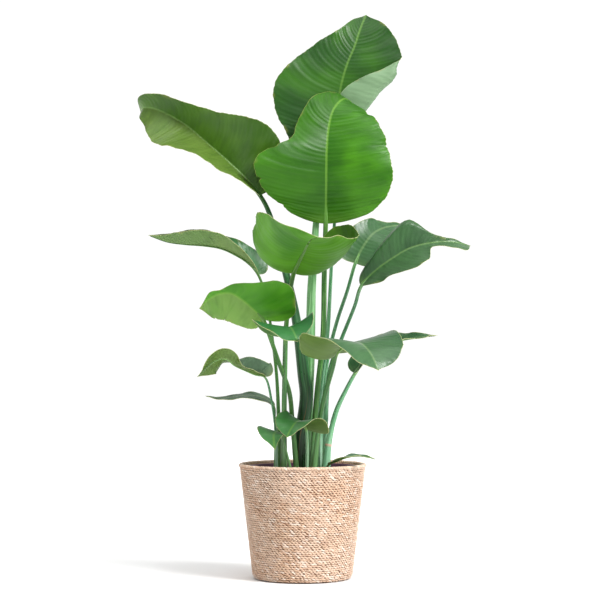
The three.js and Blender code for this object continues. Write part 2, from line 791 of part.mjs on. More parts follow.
// Soil fills the pot, with lumps on its surface and a plain hole round each stalk.
function soilGeometry() {
  const low = POT_FLOOR + POT.wall + GAP;
  const inner = (z) => potRadius(z) - POT.wall - 2 * GAP;
  const profile = [[0, low], [inner(low), low], [inner(SOIL.height), SOIL.height]];
  for (let k = SOIL.rings - 1; k >= 0; k--) {
    const share = k / SOIL.rings;
    profile.push([inner(SOIL.height) * share, SOIL.height + SOIL.mound * (1 - share * share)]);
  }
  const geometry = turned(profile, POT.sides);
  const places = geometry.attributes.position;
  for (let k = 0; k < places.count; k++) {
    const [x, y, z] = [places.getX(k), places.getY(k), places.getZ(k)];
    if (z <= SOIL.height + 0.01 || Math.hypot(x, y) < 1) continue;
    places.setZ(k, z + SOIL.clumps * Math.sin(0.13 * x + 1) * Math.cos(0.17 * y));
  }
  let soil = solid(geometry);
  for (const leaf of Object.values(LEAVES)) {
    const frames = leafFrames(leaf);
    soil = soil.subtract(solid(barGeometry(stalkFrames(leaf, frames, 8, GAP).slice(0, 3), STALK_SIDES)));
  }
  return geometryOf(soil.simplify(SLIVER));
}

// ---- The plant ----------------------------------------------------------------------------

const material = (color, roughness) => new THREE.MeshStandardMaterial({ color, roughness, metalness: 0 });

const group = new THREE.Group();

function add(name, geometry, color, roughness) {
  const mesh = new THREE.Mesh(geometry, material(color, roughness));
  mesh.name = name;
  group.add(mesh);
}

add('basket', basketGeometry(), 0xcfa878, 0.9);
add('nursery_pot', potGeometry(), 0x3a2430, 0.5);
add('soil', soilGeometry(), 0x2b1d14, 1.0);
for (const [name, leaf] of Object.entries(LEAVES)) add(name, leafGeometry(leaf), 0x3f8a3a, 0.4);

export default group;
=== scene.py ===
"""A potted bird of paradise in a woven seagrass basket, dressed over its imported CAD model."""

import itertools
import math

import bpy
import numpy as np
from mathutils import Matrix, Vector


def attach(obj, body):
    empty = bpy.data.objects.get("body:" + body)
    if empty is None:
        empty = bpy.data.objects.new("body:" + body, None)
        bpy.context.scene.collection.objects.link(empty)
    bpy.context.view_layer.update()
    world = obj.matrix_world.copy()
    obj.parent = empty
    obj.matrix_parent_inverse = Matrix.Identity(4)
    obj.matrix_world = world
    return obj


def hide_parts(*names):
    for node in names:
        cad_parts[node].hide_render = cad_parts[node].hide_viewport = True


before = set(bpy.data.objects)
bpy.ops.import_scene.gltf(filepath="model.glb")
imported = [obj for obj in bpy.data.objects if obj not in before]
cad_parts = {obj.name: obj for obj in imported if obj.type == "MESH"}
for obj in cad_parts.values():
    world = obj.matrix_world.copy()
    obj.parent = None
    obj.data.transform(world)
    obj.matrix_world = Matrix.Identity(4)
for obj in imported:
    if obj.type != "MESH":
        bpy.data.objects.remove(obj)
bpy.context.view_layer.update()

MM = 0.001
UP = np.array([0.0, 0.0, 1.0])
CIRCLE = 2 * math.pi

# ---- Leaves: the same values in millimetres as in the part's source ----
#
# stalk and rib are points on the middle line of the stalk and of the blade's rib, face is the
# direction of the upper side at the foot, and twist turns it about the rib. A half blade's width,
# lift, curl and fold run from foot to tip, and fold_at is how far out the fold lies. sweep is the
# slant of the veins, and wave the height of the edge's waves. A leaf without halves is rolled.
# kinds names the looks of the upper side, the lower side and the stalk. slot is the material slot
# of the record, where it isn't leaf_fresh. The colour given to one half (-1 left, 1 right), with
# how much of it, is painted light and shade: darker where that half is turned from the light,
# lighter where light falls on it or shines through it. tears are notches in the edge: half, place
# along it, depth and width.

LEAVES = {}
LEAVES["leaf_crown_back"] = dict(
    stalk=[[33, 34, 232], [37, 40, 380], [55, 48, 530], [65, 66, 692], [75, 90, 832]],
    rib=[[78, 106, 924], [80, 120, 1004], [85, 134, 1081], [101, 148, 1144], [120, 164, 1192],
         [132, 180, 1230], [147, 204, 1270]],
    left=dict(width=[60, 98, 120, 144, 148, 120, 91, 65, 44, 26, 0], lift=[8, 5, 5]),
    right=dict(width=[70, 110, 138, 160, 180, 190, 140, 112, 81, 48, 0], lift=5, curl=10,
               fold_at=[0.2, 0.24, 0.46, 0.63, 1.06, 1.4, 1.5], fold=[150, 160, 165, 165, 160, 0, 0]),
    girth=[7, 5, 3.8, 3.6], face=[0, -1, 0.1], sweep=[-15, 10, 30], wave=3, kinds="deep grey blue",
    slot="leaf_deep",
)
LEAVES["leaf_crown_front"] = dict(
    stalk=[[21, 4, 232], [30, 8, 380], [45, 17, 527], [48, 29, 661]],
    rib=[[51, 21, 775], [52, 4, 865], [53, 6, 934], [58, 24, 990], [69, 42, 1030], [91, 68, 1056],
         [109, 92, 1055]],
    left=dict(width=[60, 90, 134, 158, 155, 86, 72, 62, 50, 28, 0], lift=[18, 16, 4],
              curl=[-10, -10, -20], bend=2),
    right=dict(width=[70, 110, 138, 146, 142, 136, 122, 102, 78, 44, 0], lift=[8, 4, 0],
               curl=[-15, -20, -20], bend=2),
    girth=[6.5, 6.2, 6, 5.4], face=[0, -1, 0], sweep=[0, 5, 30], wave=3, kinds="bright bright yellow",
    half_light_and_shade=(-1, "2a5c0c", 0.6),
    tears=[(-1, 0.28, 0.05, 0.012), (-1, 0.13, 0.05, 0.014), (-1, 0.45, 0.06, 0.012), (1, 0.5, 0.03, 0.01)],
)
LEAVES["leaf_new_rolled"] = dict(
    stalk=[[8, 29, 232], [17, 30, 490], [20, 32, 629], [28, 34, 750]],
    rib=[[32, 36, 806], [34, 37, 861], [37, 39, 917], [39, 42, 966]],
    girth=[9, 10.3, 10, 7], face=[0, -1, 0.1], kinds="bright bright fresh", slot="stalk_green",
)
LEAVES["leaf_upper_left"] = dict(
    stalk=[[-7, 2, 232], [-4, 2, 300], [8, 2, 394], [3, 2, 440], [-15, 4, 571], [-35, 8, 661],
           [-74, 12, 800]],
    rib=[[-93, 14, 836], [-126, 12, 875], [-165, 8, 912], [-210, 6, 952], [-252, 8, 988],
         [-290, 14, 1012], [-325, 22, 1028], [-352, 42, 1033], [-362, 78, 1028]],
    left=dict(width=[60, 84, 92, 92, 88, 86, 86, 84, 64, 34, 0], lift=[38, 46, 36, 20],
              curl=[15, 15, 10]),
    right=dict(width=[80, 100, 118, 112, 90, 70, 58, 48, 40, 30, 0], lift=[34, 37, 30, 20]),
    girth=[13, 15, 14, 11, 9, 7, 5], face=[0.56, -0.97, 0.57], twist=[0, -25, -50, -60],
    sweep=[-10, 10, 0, -25], wave=3, kinds="mid mid dark", half_light_and_shade=(-1, "6a7c3e", 0.6),
)
LEAVES["leaf_middle_front"] = dict(
    stalk=[[-42, -14, 232], [-38, -28, 475], [-36, -40, 540], [-28, -57, 615]],
    rib=[[-19, -71, 662], [-8, -100, 686], [3, -134, 706], [11, -170, 720], [19, -200, 728],
         [32, -225, 731]],
    left=dict(width=[146, 204, 202, 150, 106, 72, 40, 0], lift=[-22, -22, -22, -12, 0],
              curl=[155, 134, 74, 40, 16]),
    right=dict(width=[100, 138, 144, 142, 128, 100, 58, 0], lift=[-16, -4, 0], curl=[116, 84, 20]),
    girth=[6, 5.5, 5], face=[0, 0.3, 1], sweep=[-15, 5, 25], wave=2, kinds="mid bright olive",
    half_light_and_shade=(-1, "4a8404", 0.7),
)
LEAVES["leaf_middle_left"] = dict(
    stalk=[[-50, 16, 232], [-56, 24, 431], [-67, 28, 530], [-80, 30, 612]],
    rib=[[-98, 30, 664], [-120, 28, 690], [-149, 26, 708], [-180, 26, 721], [-217, 30, 727],
         [-258, 40, 730], [-299, 56, 736], [-345, 74, 753]],
    left=dict(width=[4, 12, 28, 42, 46, 40, 26, 14, 0], lift=[40, 45, 45], curl=10),
    right=dict(width=[34, 42, 40, 36, 44, 40, 30, 16, 0], lift=[30, 40, 40], curl=20),
    girth=[5, 4, 3.5], face=[0.2, -0.1, 1], sweep=[-50, 10, 35], wave=2, kinds="leaf pale olive",
)
LEAVES["leaf_middle_right_back"] = dict(
    stalk=[[38, 58, 232], [52, 62, 452], [75, 64, 554], [100, 68, 629]],
    rib=[[118, 74, 690], [132, 84, 721], [155, 104, 754], [178, 130, 770], [209, 165, 779],
         [243, 200, 781]],
    left=dict(width=[50, 56, 44, 34, 14, 10, 0], curl=[20, 30, 40]),
    right=dict(width=[40, 50, 52, 50, 40, 24, 0]),
    girth=[5.5, 4.4, 3.8], face=[0, -0.9, 0.5], sweep=[-10, 20, 35], wave=2, kinds="grey grey blue",
    tears=[(-1, 0.55, 0.08, 0.02)],
)
LEAVES["leaf_middle_right"] = dict(
    stalk=[[48, 18, 232], [60, 16, 453], [86, 12, 523], [114, 6, 593]],
    rib=[[129, 0, 638], [164, -8, 673], [199, -14, 698], [234, -16, 718], [274, -14, 729],
         [323, -4, 733], [370, 10, 725]],
    left=dict(width=[20, 28, 48, 60, 68, 29, 12, 8, 0], lift=[35, 45, 35, 10], curl=[0, 0, 10],
              fold_at=[0.7, 0.7, 0.72, 0.9, 1.3, 1.5], fold=[-50, -65, -65, -40, 0, 0]),
    right=dict(width=[20, 44, 64, 88, 72, 22, 34, 34, 0], lift=10),
    girth=[6, 4.8, 4.2], face=[-0.3, -0.6, 0.8], sweep=[0, 20, 35], wave=2, kinds="slate mid blue",
    slot="leaf_deep", half_light_and_shade=(1, "527a4c", 0.7),
)
LEAVES["leaf_lower_left"] = dict(
    stalk=[[-13, -22, 232], [-22, -22, 340], [-29, -38, 407], [-50, -46, 466], [-68, -46, 518]],
    rib=[[-85, -58, 562], [-97, -66, 576], [-111, -72, 589], [-129, -78, 604], [-153, -84, 618],
         [-179, -80, 617], [-204, -64, 604], [-224, -40, 586]],
    left=dict(width=[20, 40, 52, 58, 62, 54, 36, 0], lift=10),
    right=dict(width=[70, 88, 104, 42, 12, 12, 4, 0], lift=10),
    girth=[6, 5, 4.5], face=[-0.25, -0.95, 0.25], sweep=[-40, -5, 20], wave=2, kinds="lush mid olive",
    half_light_and_shade=(-1, "8fa860", 0.6), tears=[(-1, 0.8, 0.1, 0.015), (-1, 0.66, 0.06, 0.012)],
)
LEAVES["leaf_lower_front"] = dict(
    stalk=[[-38, -38, 232], [-38, -47, 389], [-36, -68, 497]],
    rib=[[-38, -84, 525], [-33, -100, 542], [-27, -120, 546], [-19, -140, 535], [-10, -156, 514]],
    left=dict(width=[28, 48, 62, 54, 36, 16, 0], lift=[25, 25, 5], curl=[20, 20, 0]),
    right=dict(width=[30, 62, 84, 80, 56, 28, 0], lift=[-4, -4, 0], curl=[10, 10, 0]),
    girth=[5, 4, 3.5], face=[0, 0, 1], sweep=[-5, 15, 30], wave=2, kinds="leaf deep green",
    slot="leaf_deep",
)
LEAVES["leaf_lower_right"] = dict(
    stalk=[[24, -24, 232], [42, -44, 372], [64, -56, 458]],
    rib=[[72, -64, 490], [92, -90, 509], [120, -138, 512], [137, -170, 497], [149, -188, 476],
         [157, -198, 454]],
    left=dict(width=[70, 97, 103, 92, 78, 50, 0], lift=[6, 8, 8, 8], curl=[5, 5, 0]),
    right=dict(width=[96, 116, 126, 100, 72, 40, 0], lift=[-56, -16, 14, 8, 8], curl=[100, 50, -5, 0, 0]),
    girth=[7, 5.2, 6], face=[0, 0, 1], sweep=[-10, 10, 25], wave=2, kinds="grey olive green",
    slot="leaf_deep",
)
LEAVES["leaf_lower_right_back"] = dict(
    stalk=[[50, -12, 232], [57, -8, 294], [73, 0, 362], [94, 6, 408]],
    rib=[[115, 10, 446], [135, 12, 475], [166, 12, 501], [205, 10, 516], [249, 4, 523], [296, 0, 529]],
    left=dict(width=[30, 38, 36, 30, 20, 12, 0], lift=20),
    right=dict(width=[30, 42, 45, 40, 30, 16, 0], lift=20),
    girth=[10, 6.8, 5.6, 4.6], face=[-0.3, -0.3, 1], sweep=[-10, 20, 45], wave=2,
    kinds="grey mid ringed",
)
LEAVES["leaf_base_front"] = dict(
    stalk=[[9, -44, 232], [10, -52, 296]],
    rib=[[8, -60, 326], [0, -76, 344], [-13, -96, 343], [-25, -112, 328], [-34, -122, 311]],
    left=dict(width=[60, 62, 60, 50, 36, 18, 0], lift=[-20, 5, 0]),
    right=dict(width=[36, 50, 47, 48, 38, 18, 0], lift=[26, 18, 2], curl=[15, 15, 0]),
    girth=[4, 3.5, 3], face=[0, 0, 1], sweep=[-5, 10, 25], wave=1, kinds="clear olive pale",
    slot="leaf_deep",
)
LEAVES["leaf_base_front_small"] = dict(
    stalk=[[-24, -46, 232], [-36, -56, 281]],
    rib=[[-44, -58, 312], [-53, -68, 321], [-61, -80, 317], [-61, -88, 300], [-59, -92, 283]],
    left=dict(width=[15, 25, 26, 20, 12, 6, 0]),
    right=dict(width=[26, 46, 48, 28, 14, 6, 0], lift=[5, 5, 0]),
    girth=[3.5, 3, 2.5], face=[0, 0, 1], sweep=[-10, 10, 30], wave=1, kinds="clear deep green",
    slot="leaf_deep",
)
LEAVES["leaf_base_left"] = dict(
    stalk=[[-56, -20, 232], [-60, -22, 338], [-66, -22, 379]],
    rib=[[-82, -20, 438], [-101, -22, 443], [-123, -24, 452], [-147, -26, 463], [-166, -30, 477],
         [-188, -34, 474], [-207, -38, 460], [-228, -42, 438]],
    left=dict(width=[10, 18, 20, 20, 25, 24, 13, 0], lift=[60, 75, 60, 0, 0]),
    right=dict(width=[34, 40, 36, 28, 30, 28, 16, 0], lift=[25, 25, 0, -45, -45]),
    girth=[3.5, 3, 2.5], face=[-0.1, -0.5, 0.7], twist=[0, 0, 0, 70, 85, 85, 85], sweep=[-50, 5, 35],
    wave=1, kinds="dusty olive blue", slot="leaf_deep",
)
LEAVES["leaf_base_left_thin"] = dict(
    stalk=[[-60, 4, 232], [-60, 4, 344]],
    rib=[[-62, 4, 374], [-80, 6, 389], [-106, 8, 397], [-137, 10, 396], [-177, 14, 391], [-215, 18, 396]],
    left=dict(width=[10, 18, 20, 18, 14, 8, 0]),
    right=dict(width=[10, 18, 20, 18, 14, 8, 0]),
    girth=[3, 2.5, 2], face=[-0.1, -0.12, 1], sweep=[-10, 20, 45], wave=1, kinds="grey mid green",
)
LEAVES["leaf_base_right"] = dict(
    stalk=[[48, -46, 232]],
    rib=[[57, -62, 252], [76, -74, 261], [95, -84, 268], [116, -92, 271], [137, -100, 269],
         [158, -106, 265]],
    left=dict(width=[10, 16, 18, 16, 12, 6, 0], lift=10),
    right=dict(width=[10, 16, 18, 16, 12, 6, 0], lift=10),
    girth=[3.5, 3], face=[-0.1, -0.2, 1], sweep=[-10, 20, 45], wave=1, kinds="leaf mid green",
)

SOIL_HEIGHT = 230
STALK_COVERED = 14  # length of stalk modelled under the soil's surface
BLADE_THICKNESS = 0.75
BLADE_END = 0.998  # share of the rib at which a blade's last row lies
FOOT_SHARE = 0.09  # share of the rib along which a blade's foot is rounded
FOLD_LENGTH = 0.2
SPINE_FRAMES = 240
CURVE_SAMPLES = 1200
WIDTH_STEPS = 4
RIB_TIP_RADIUS = 1.0
MARGIN = 1.1  # width of the pale margin of a blade
EDGE_WAVES = 3  # along a half blade
FULL_LENGTH = 260  # of a blade whose pleats have their full height
VEIN_BOW = 0.07
STALK_SIDES = 20


def unit(vectors):
    return vectors / np.linalg.norm(vectors, axis=-1, keepdims=True)


def smooth(t):
    t = np.clip(t, 0, 1)
    return t * t * (3 - 2 * t)


def part_at(shares, count):
    """Which of a line's even parts each share of it falls in, and how far along that part."""
    place = np.clip(shares, 0, 1) * count
    i = np.minimum(place.astype(int), count - 1)
    return i, place - i


def along(values, u):
    """A smooth curve through evenly spaced values, read at shares u of its length."""
    values = np.asarray(values, float)
    if values.ndim == 0:
        return values + 0 * u
    i, t = part_at(u, len(values) - 1)
    before, start = values[np.maximum(i - 1, 0)], values[i]
    end, after = values[i + 1], values[np.minimum(i + 2, len(values) - 1)]
    square = 2 * before - 5 * start + 4 * end - after
    cube = 3 * (start - end) + after - before
    return start + 0.5 * t * (end - before + t * (square + t * cube))


def spine_points(points, shares):
    """Points at shares of a centripetal Catmull-Rom curve through the given points."""
    points = np.asarray(points, float)
    padded = np.vstack([2 * points[0] - points[1], points, 2 * points[-1] - points[-2]])
    i, t = part_at(shares[:, None], len(points) - 1)
    i = i[:, 0]
    a, b, c, d = (padded[i + k] for k in range(4))
    gap = [np.linalg.norm(q - p, axis=1, keepdims=True) ** 0.5 for p, q in ((a, b), (b, c), (c, d))]
    leave = ((b - a) / gap[0] - (c - a) / (gap[0] + gap[1]) + (c - b) / gap[1]) * gap[1]
    reach = ((c - b) / gap[1] - (d - b) / (gap[1] + gap[2]) + (d - c) / gap[2]) * gap[1]
    square = -3 * b + 3 * c - 2 * leave - reach
    cube = 2 * b - 2 * c + leave + reach
    return b + t * (leave + t * (square + t * cube))


def even_points(points, start, end):
    """Evenly spaced points on a part of the curve through the given points, and its length."""
    samples = spine_points(points, np.linspace(start, end, CURVE_SAMPLES + 1))
    steps = np.linalg.norm(np.diff(samples, axis=0), axis=1)
    lengths = np.concatenate([[0], np.cumsum(steps)])
    wanted = np.linspace(0, lengths[-1], SPINE_FRAMES + 1)
    return np.stack([np.interp(wanted, lengths, samples[:, k]) for k in range(3)], 1), lengths[-1]


def carried_frames(places, face):
    """Direction and upper side at each point of a path, carried along without turning."""
    ahead = unit(np.gradient(places, axis=0))
    up = np.array(face, float)
    ups = []
    for direction in ahead:
        up = up - up @ direction * direction
        up = up / np.linalg.norm(up)
        ups.append(up)
    return ahead, np.array(ups)


def leaf_frames(leaf):
    """Place, ahead and up along the rib and along the stalk, and the length of each."""
    points = leaf["stalk"] + leaf["rib"]
    foot = len(leaf["stalk"]) / (len(points) - 1)
    places, rib_length = even_points(points, foot, 1)
    ahead, up = carried_frames(places, leaf["face"])
    turn = np.radians(along(leaf.get("twist", 0), np.linspace(0, 1, SPINE_FRAMES + 1)))[:, None]
    rib = (places, ahead, up * np.cos(turn) + np.cross(ahead, up) * np.sin(turn))
    places, stalk_length = even_points(points, foot, 0)
    ahead, up = carried_frames(places, leaf["face"])
    return rib, (places[::-1], -ahead[::-1], up[::-1]), rib_length, stalk_length


def frame_at(frames, u):
    i, t = part_at(u[:, None], SPINE_FRAMES)
    i = i[:, 0]
    places, ahead, up = (part[i] * (1 - t) + part[i + 1] * t for part in frames)
    ahead, up = unit(ahead), unit(up)
    return places, ahead, up, np.cross(ahead, up)


def wobble(rng, lengths):
    """A smooth random function of mean 0 and size about 1, with the given wave lengths."""
    phases = rng.uniform(0, CIRCLE, len(lengths))

    def value(x):
        waves = [np.sin(CIRCLE * x / n + p) for n, p in zip(lengths, phases)]
        return sum(waves) / math.sqrt(len(lengths))

    return value


def turn_at(half, u, share):
    """How far a half blade has turned up from the rib's own right and left."""
    curl = along(half.get("curl", 0), u) * share ** half.get("bend", 1)
    turn = along(half.get("lift", 0), u) + curl
    if "fold" in half:
        place = (share - along(half["fold_at"], u)) / FOLD_LENGTH + 0.5
        turn = turn + along(half["fold"], u) * smooth(place)
    return np.radians(turn)


def half_blade(leaf, frames, u, side, columns, rng, length):
    """Points of a half blade without its rib line, and what its material needs at each."""
    half = leaf["left"] if side < 0 else leaf["right"]
    place, ahead, up, right = frame_at(frames, u)
    sweep = np.radians(along(leaf["sweep"], u))[:, None]
    out = right * side * np.cos(sweep) + ahead * np.sin(sweep)
    foot = np.sqrt(np.maximum(1 - (1 - np.minimum(u / FOOT_SHARE, 1)) ** 2, 0))
    width = np.maximum(along(half["width"], u), 0) * foot
    width = width * (1 + 0.008 * wobble(rng, (0.31, 0.13, 0.055, 0.024))(u))
    for tear_side, at, depth, reach in leaf.get("tears", ()):
        if tear_side == side:
            width = width * (1 - depth * np.clip(1 - np.abs(u - at) / reach, 0, 1) ** 0.7)
    width = width[:, None]
    inner = np.linspace(0, 1, columns) * (1 - np.minimum(MARGIN / np.maximum(width, 1e-6), 0.1))
    shares = np.hstack([inner, np.ones((len(u), 1))])
    steps = np.linspace(0, 1, WIDTH_STEPS, endpoint=False)
    gaps = np.diff(shares, axis=1)[:, :, None]
    middles = (shares[:, :-1, None] + gaps * (steps + 0.5 / WIDTH_STEPS)).reshape(len(u), -1)
    turn = turn_at(half, u[:, None], middles)
    pieces = np.repeat(gaps, WIDTH_STEPS, axis=2).reshape(len(u), -1) / WIDTH_STEPS * width
    outward = np.cumsum(pieces * np.cos(turn), 1)[:, WIDTH_STEPS - 1::WIDTH_STEPS, None]
    upward = np.cumsum(pieces * np.sin(turn), 1)[:, WIDTH_STEPS - 1::WIDTH_STEPS, None]
    shares = shares[:, 1:]
    points = place[:, None] + out[:, None] * outward + up[:, None] * upward

    # Waves of the half blade, pleats along its veins, and a wavering edge.
    calm = np.clip(6 * np.minimum(u, 1 - u), 0, 1)[:, None]
    phase = CIRCLE * (EDGE_WAVES * u + (0.35 if side > 0 else 0))[:, None]
    vein = length * (u[:, None] - VEIN_BOW * shares ** 2)
    sway = wobble(rng, (97, 61, 37))
    pleat = wobble(rng, (8.3, 9.4, 11.1))(vein) * 0.14 + wobble(rng, (21, 27))(vein) * 0.3
    size = min(length / FULL_LENGTH, 1)
    edge_wave = shares ** 5 * wobble(rng, (47, 33, 71))(length * u)[:, None] * 1.3 * size
    relief = pleat * size * smooth(shares / 0.25) * (1 - 0.7 * smooth((shares - 0.8) / 0.2))
    lean = turn_at(half, u[:, None], shares)
    rise = leaf["wave"] * shares ** 2 * np.sin(phase) * calm + (relief + edge_wave) * calm
    points = points - out[:, None] * (rise * np.sin(lean))[:, :, None]
    points = points + up[:, None] * (rise * np.cos(lean))[:, :, None]
    return points, {
        "vein": vein + 0.4 * sway(vein),
        "edge": width * (1 - shares),
        "from_rib": width * shares,
        "share": shares,
        "half": 0 * shares + side,
    }


def blade_rows(count):
    """Shares of the rib at which rows lie, closer at the foot, where the outline is round."""
    foot = max(count // 7, 6)
    turn = np.linspace(0.03, math.pi / 2, foot + 1)
    body = np.linspace(0, 1, count - foot + 1)[1:]
    return np.concatenate([
        FOOT_SHARE * (1 - np.cos(turn)),
        FOOT_SHARE + (BLADE_END - FOOT_SHARE) * (0.75 * body + 0.25 * np.sin(body * math.pi / 2)),
    ])


def sheet_faces(rows, columns):
    """Quads of a closed sheet: upper points first, then the lower ones in the same order."""
    index = np.arange(rows * columns).reshape(rows, columns)
    upper = np.stack([index[:-1, :-1], index[:-1, 1:], index[1:, 1:], index[1:, :-1]], -1).reshape(-1, 4)
    below = rows * columns
    border = np.concatenate([index[0, :-1], index[:-1, -1], index[-1, :0:-1], index[:0:-1, 0]])
    after = np.roll(border, -1)
    return upper, upper[:, ::-1] + below, np.stack([after, border, border + below, after + below], 1)


def ring_quads(rings, sides):
    """The points' numbers ring by ring, each point's next one round its ring, and the quads."""
    index = np.arange(rings * sides).reshape(rings, sides)
    after = np.roll(index, -1, axis=1)
    return index, after, np.stack([index[:-1], after[:-1], after[1:], index[1:]], -1).reshape(-1, 4)


def tube(places, right, up, sections):
    """A closed tube: sections holds each ring's points as (right, up) pairs."""
    points = places[:, None] + right[:, None] * sections[..., :1] + up[:, None] * sections[..., 1:]
    index, _, quads = ring_quads(*sections.shape[:2])
    return points.reshape(-1, 3), quads, [index[0, ::-1], index[-1]]


def mesh_piece(name, points, faces, materials, values=None, smooth_faces=True):
    """A mesh object from points in millimetres. faces pairs an array of faces with a material."""
    sizes, loops, slots = [], [], []
    for group, slot in faces:
        group = np.atleast_2d(group)
        sizes.append(np.full(len(group), group.shape[1]))
        loops.append(group.ravel())
        slots.append(np.full(len(group), slot))
    sizes, loops, slots = (np.concatenate(part).astype(np.int32) for part in (sizes, loops, slots))
    mesh = bpy.data.meshes.new(name)
    mesh.vertices.add(len(points))
    mesh.vertices.foreach_set("co", (np.asarray(points) * MM).astype(np.float32).ravel())
    mesh.loops.add(len(loops))
    mesh.loops.foreach_set("vertex_index", loops)
    mesh.polygons.add(len(sizes))
    starts = np.concatenate([[0], np.cumsum(sizes)[:-1]]).astype(np.int32)
    mesh.polygons.foreach_set("loop_start", starts)
    mesh.polygons.foreach_set("material_index", slots)
    mesh.polygons.foreach_set("use_smooth", np.full(len(sizes), smooth_faces))
    mesh.update(calc_edges=True)
    for key, numbers in (values or {}).items():
        layer = mesh.attributes.new(key, "FLOAT", "POINT")
        layer.data.foreach_set("value", np.asarray(numbers, np.float32).ravel())
    for material in materials:
        mesh.materials.append(material)
    piece = bpy.data.objects.new(name, mesh)
    bpy.context.scene.collection.objects.link(piece)
    return piece


def dress(piece, node):
    """The piece rides on the part's only body and stands for a node of the CAD model."""
    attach(piece, "root")
    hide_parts(node)


def stem_sections(radius, groove):
    """Cross-sections of a stem: round below, with a channel along the upper side."""
    angle = CIRCLE * (np.arange(STALK_SIDES) + 0.5) / STALK_SIDES
    x, y = np.outer(radius, np.cos(angle)), np.outer(radius, np.sin(angle))
    flat = 1 - 0.25 * groove[:, None] * (y > 0)
    dip = 0.2 * np.outer(groove * radius, np.exp(-(np.cos(angle) / 0.35) ** 2))
    return np.stack([x, y * flat - dip * (np.sin(angle) > 0)], -1), angle


def leaf_piece(node, leaf, seed, materials):
    """One whole leaf: blade, stalk and rib in one piece that stands for its CAD node."""
    rng = np.random.default_rng(seed)
    rolled = "left" not in leaf
    rib, stalk, rib_length, stalk_length = leaf_frames(leaf)
    points, faces, values = [], [], {}
    blade_count = 0
    if not rolled:
        widest = max(leaf["left"]["width"] + leaf["right"]["width"])
        columns = int(np.clip(widest / 3.4, 12, 46))
        u = blade_rows(int(np.clip(rib_length / 2.2, 60, 180)))
        halves = [half_blade(leaf, rib, u, side, columns, rng, rib_length) for side in (-1, 1)]
        (left, left_values), (right, right_values) = halves
        grid = np.concatenate([left[:, ::-1], frame_at(rib, u)[0][:, None], right], 1)
        for key in left_values:
            a, b = left_values[key][:, ::-1], right_values[key]
            centre = {"vein": rib_length * u, "edge": 0 * u + 50}.get(key, 0 * u)
            values[key] = np.concatenate([a, centre[:, None], b], 1).ravel()
        values["u"] = np.repeat(u, grid.shape[1])
        normals = unit(np.cross(np.gradient(grid, axis=1), np.gradient(grid, axis=0)))
        flat, normals = grid.reshape(-1, 3), normals.reshape(-1, 3)
        points = [flat + normals * BLADE_THICKNESS / 2, flat - normals * BLADE_THICKNESS / 2]
        upper, under, rim = sheet_faces(*grid.shape[:2])
        faces = [(upper, 0), (under, 1), (rim, 2)]
        blade_count = 2 * len(flat)

    thick = leaf["girth"][-1]
    u = np.linspace(0, 1, int(np.clip(stalk_length / 7, 12, 90)) + 1)[:-1]
    place, _, up, right = frame_at(stalk, u)
    place = np.vstack([place[:1] - UP * STALK_COVERED, place])
    up, right = np.vstack([up[:1], up]), np.vstack([right[:1], right])
    radius = np.concatenate([[leaf["girth"][0]], along(leaf["girth"], u)])
    climb = np.concatenate([[0], u])
    v = np.linspace(0, 0.975, int(np.clip(rib_length / 5, 16, 60)) + 1)
    rib_place, _, rib_up, rib_right = frame_at(rib, v)
    if rolled:
        rib_radius = thick * (1 - 0.85 * v ** 2)
        groove = np.zeros(len(radius) + len(v))
    else:
        rib_radius = np.maximum(0.85 * thick * (1 - v) ** 0.8, RIB_TIP_RADIUS)
        rib_radius = rib_radius + 0.15 * thick * (1 - smooth(v * 12))
        rib_place = rib_place - rib_up * (0.5 * rib_radius * np.minimum(8 * v, 1))[:, None]
        groove = np.concatenate([smooth(climb * 1.3 - 0.2), np.ones(len(v))])
    place, up, right = map(np.vstack, ((place, rib_place), (up, rib_up), (right, rib_right)))
    radius, climb = np.concatenate([radius, rib_radius]), np.concatenate([climb, 1 + v])
    sections, angle = stem_sections(radius, groove)
    stem, quads, ends = tube(place, right, up, sections)
    faces.append((quads + blade_count, 3))
    faces += [(end + blade_count, 3) for end in ends]
    on_blade, on_stem = np.zeros(blade_count), np.zeros(len(stem))
    values = {key: np.concatenate([np.tile(part, 2), on_stem]) for key, part in values.items()}
    for key, part in {
        "climb": np.repeat(climb, STALK_SIDES),
        "height": np.repeat(place[:, 2], STALK_SIDES),
        "grain_x": np.tile(np.cos(angle), len(place)),
        "grain_y": np.tile(np.sin(angle), len(place)),
    }.items():
        values[key] = np.concatenate([on_blade, part])
    piece = mesh_piece(node + "_fine", np.vstack(points + [stem]), faces, materials, values)
    dress(piece, node)


# ---- Materials ----


def rgb(code):
    """A colour written as six hexadecimal digits, as linear light."""
    parts = [int(code[k:k + 2], 16) / 255 for k in (0, 2, 4)]
    return [x / 12.92 if x <= 0.04045 else ((x + 0.055) / 1.055) ** 2.4 for x in parts] + [1]


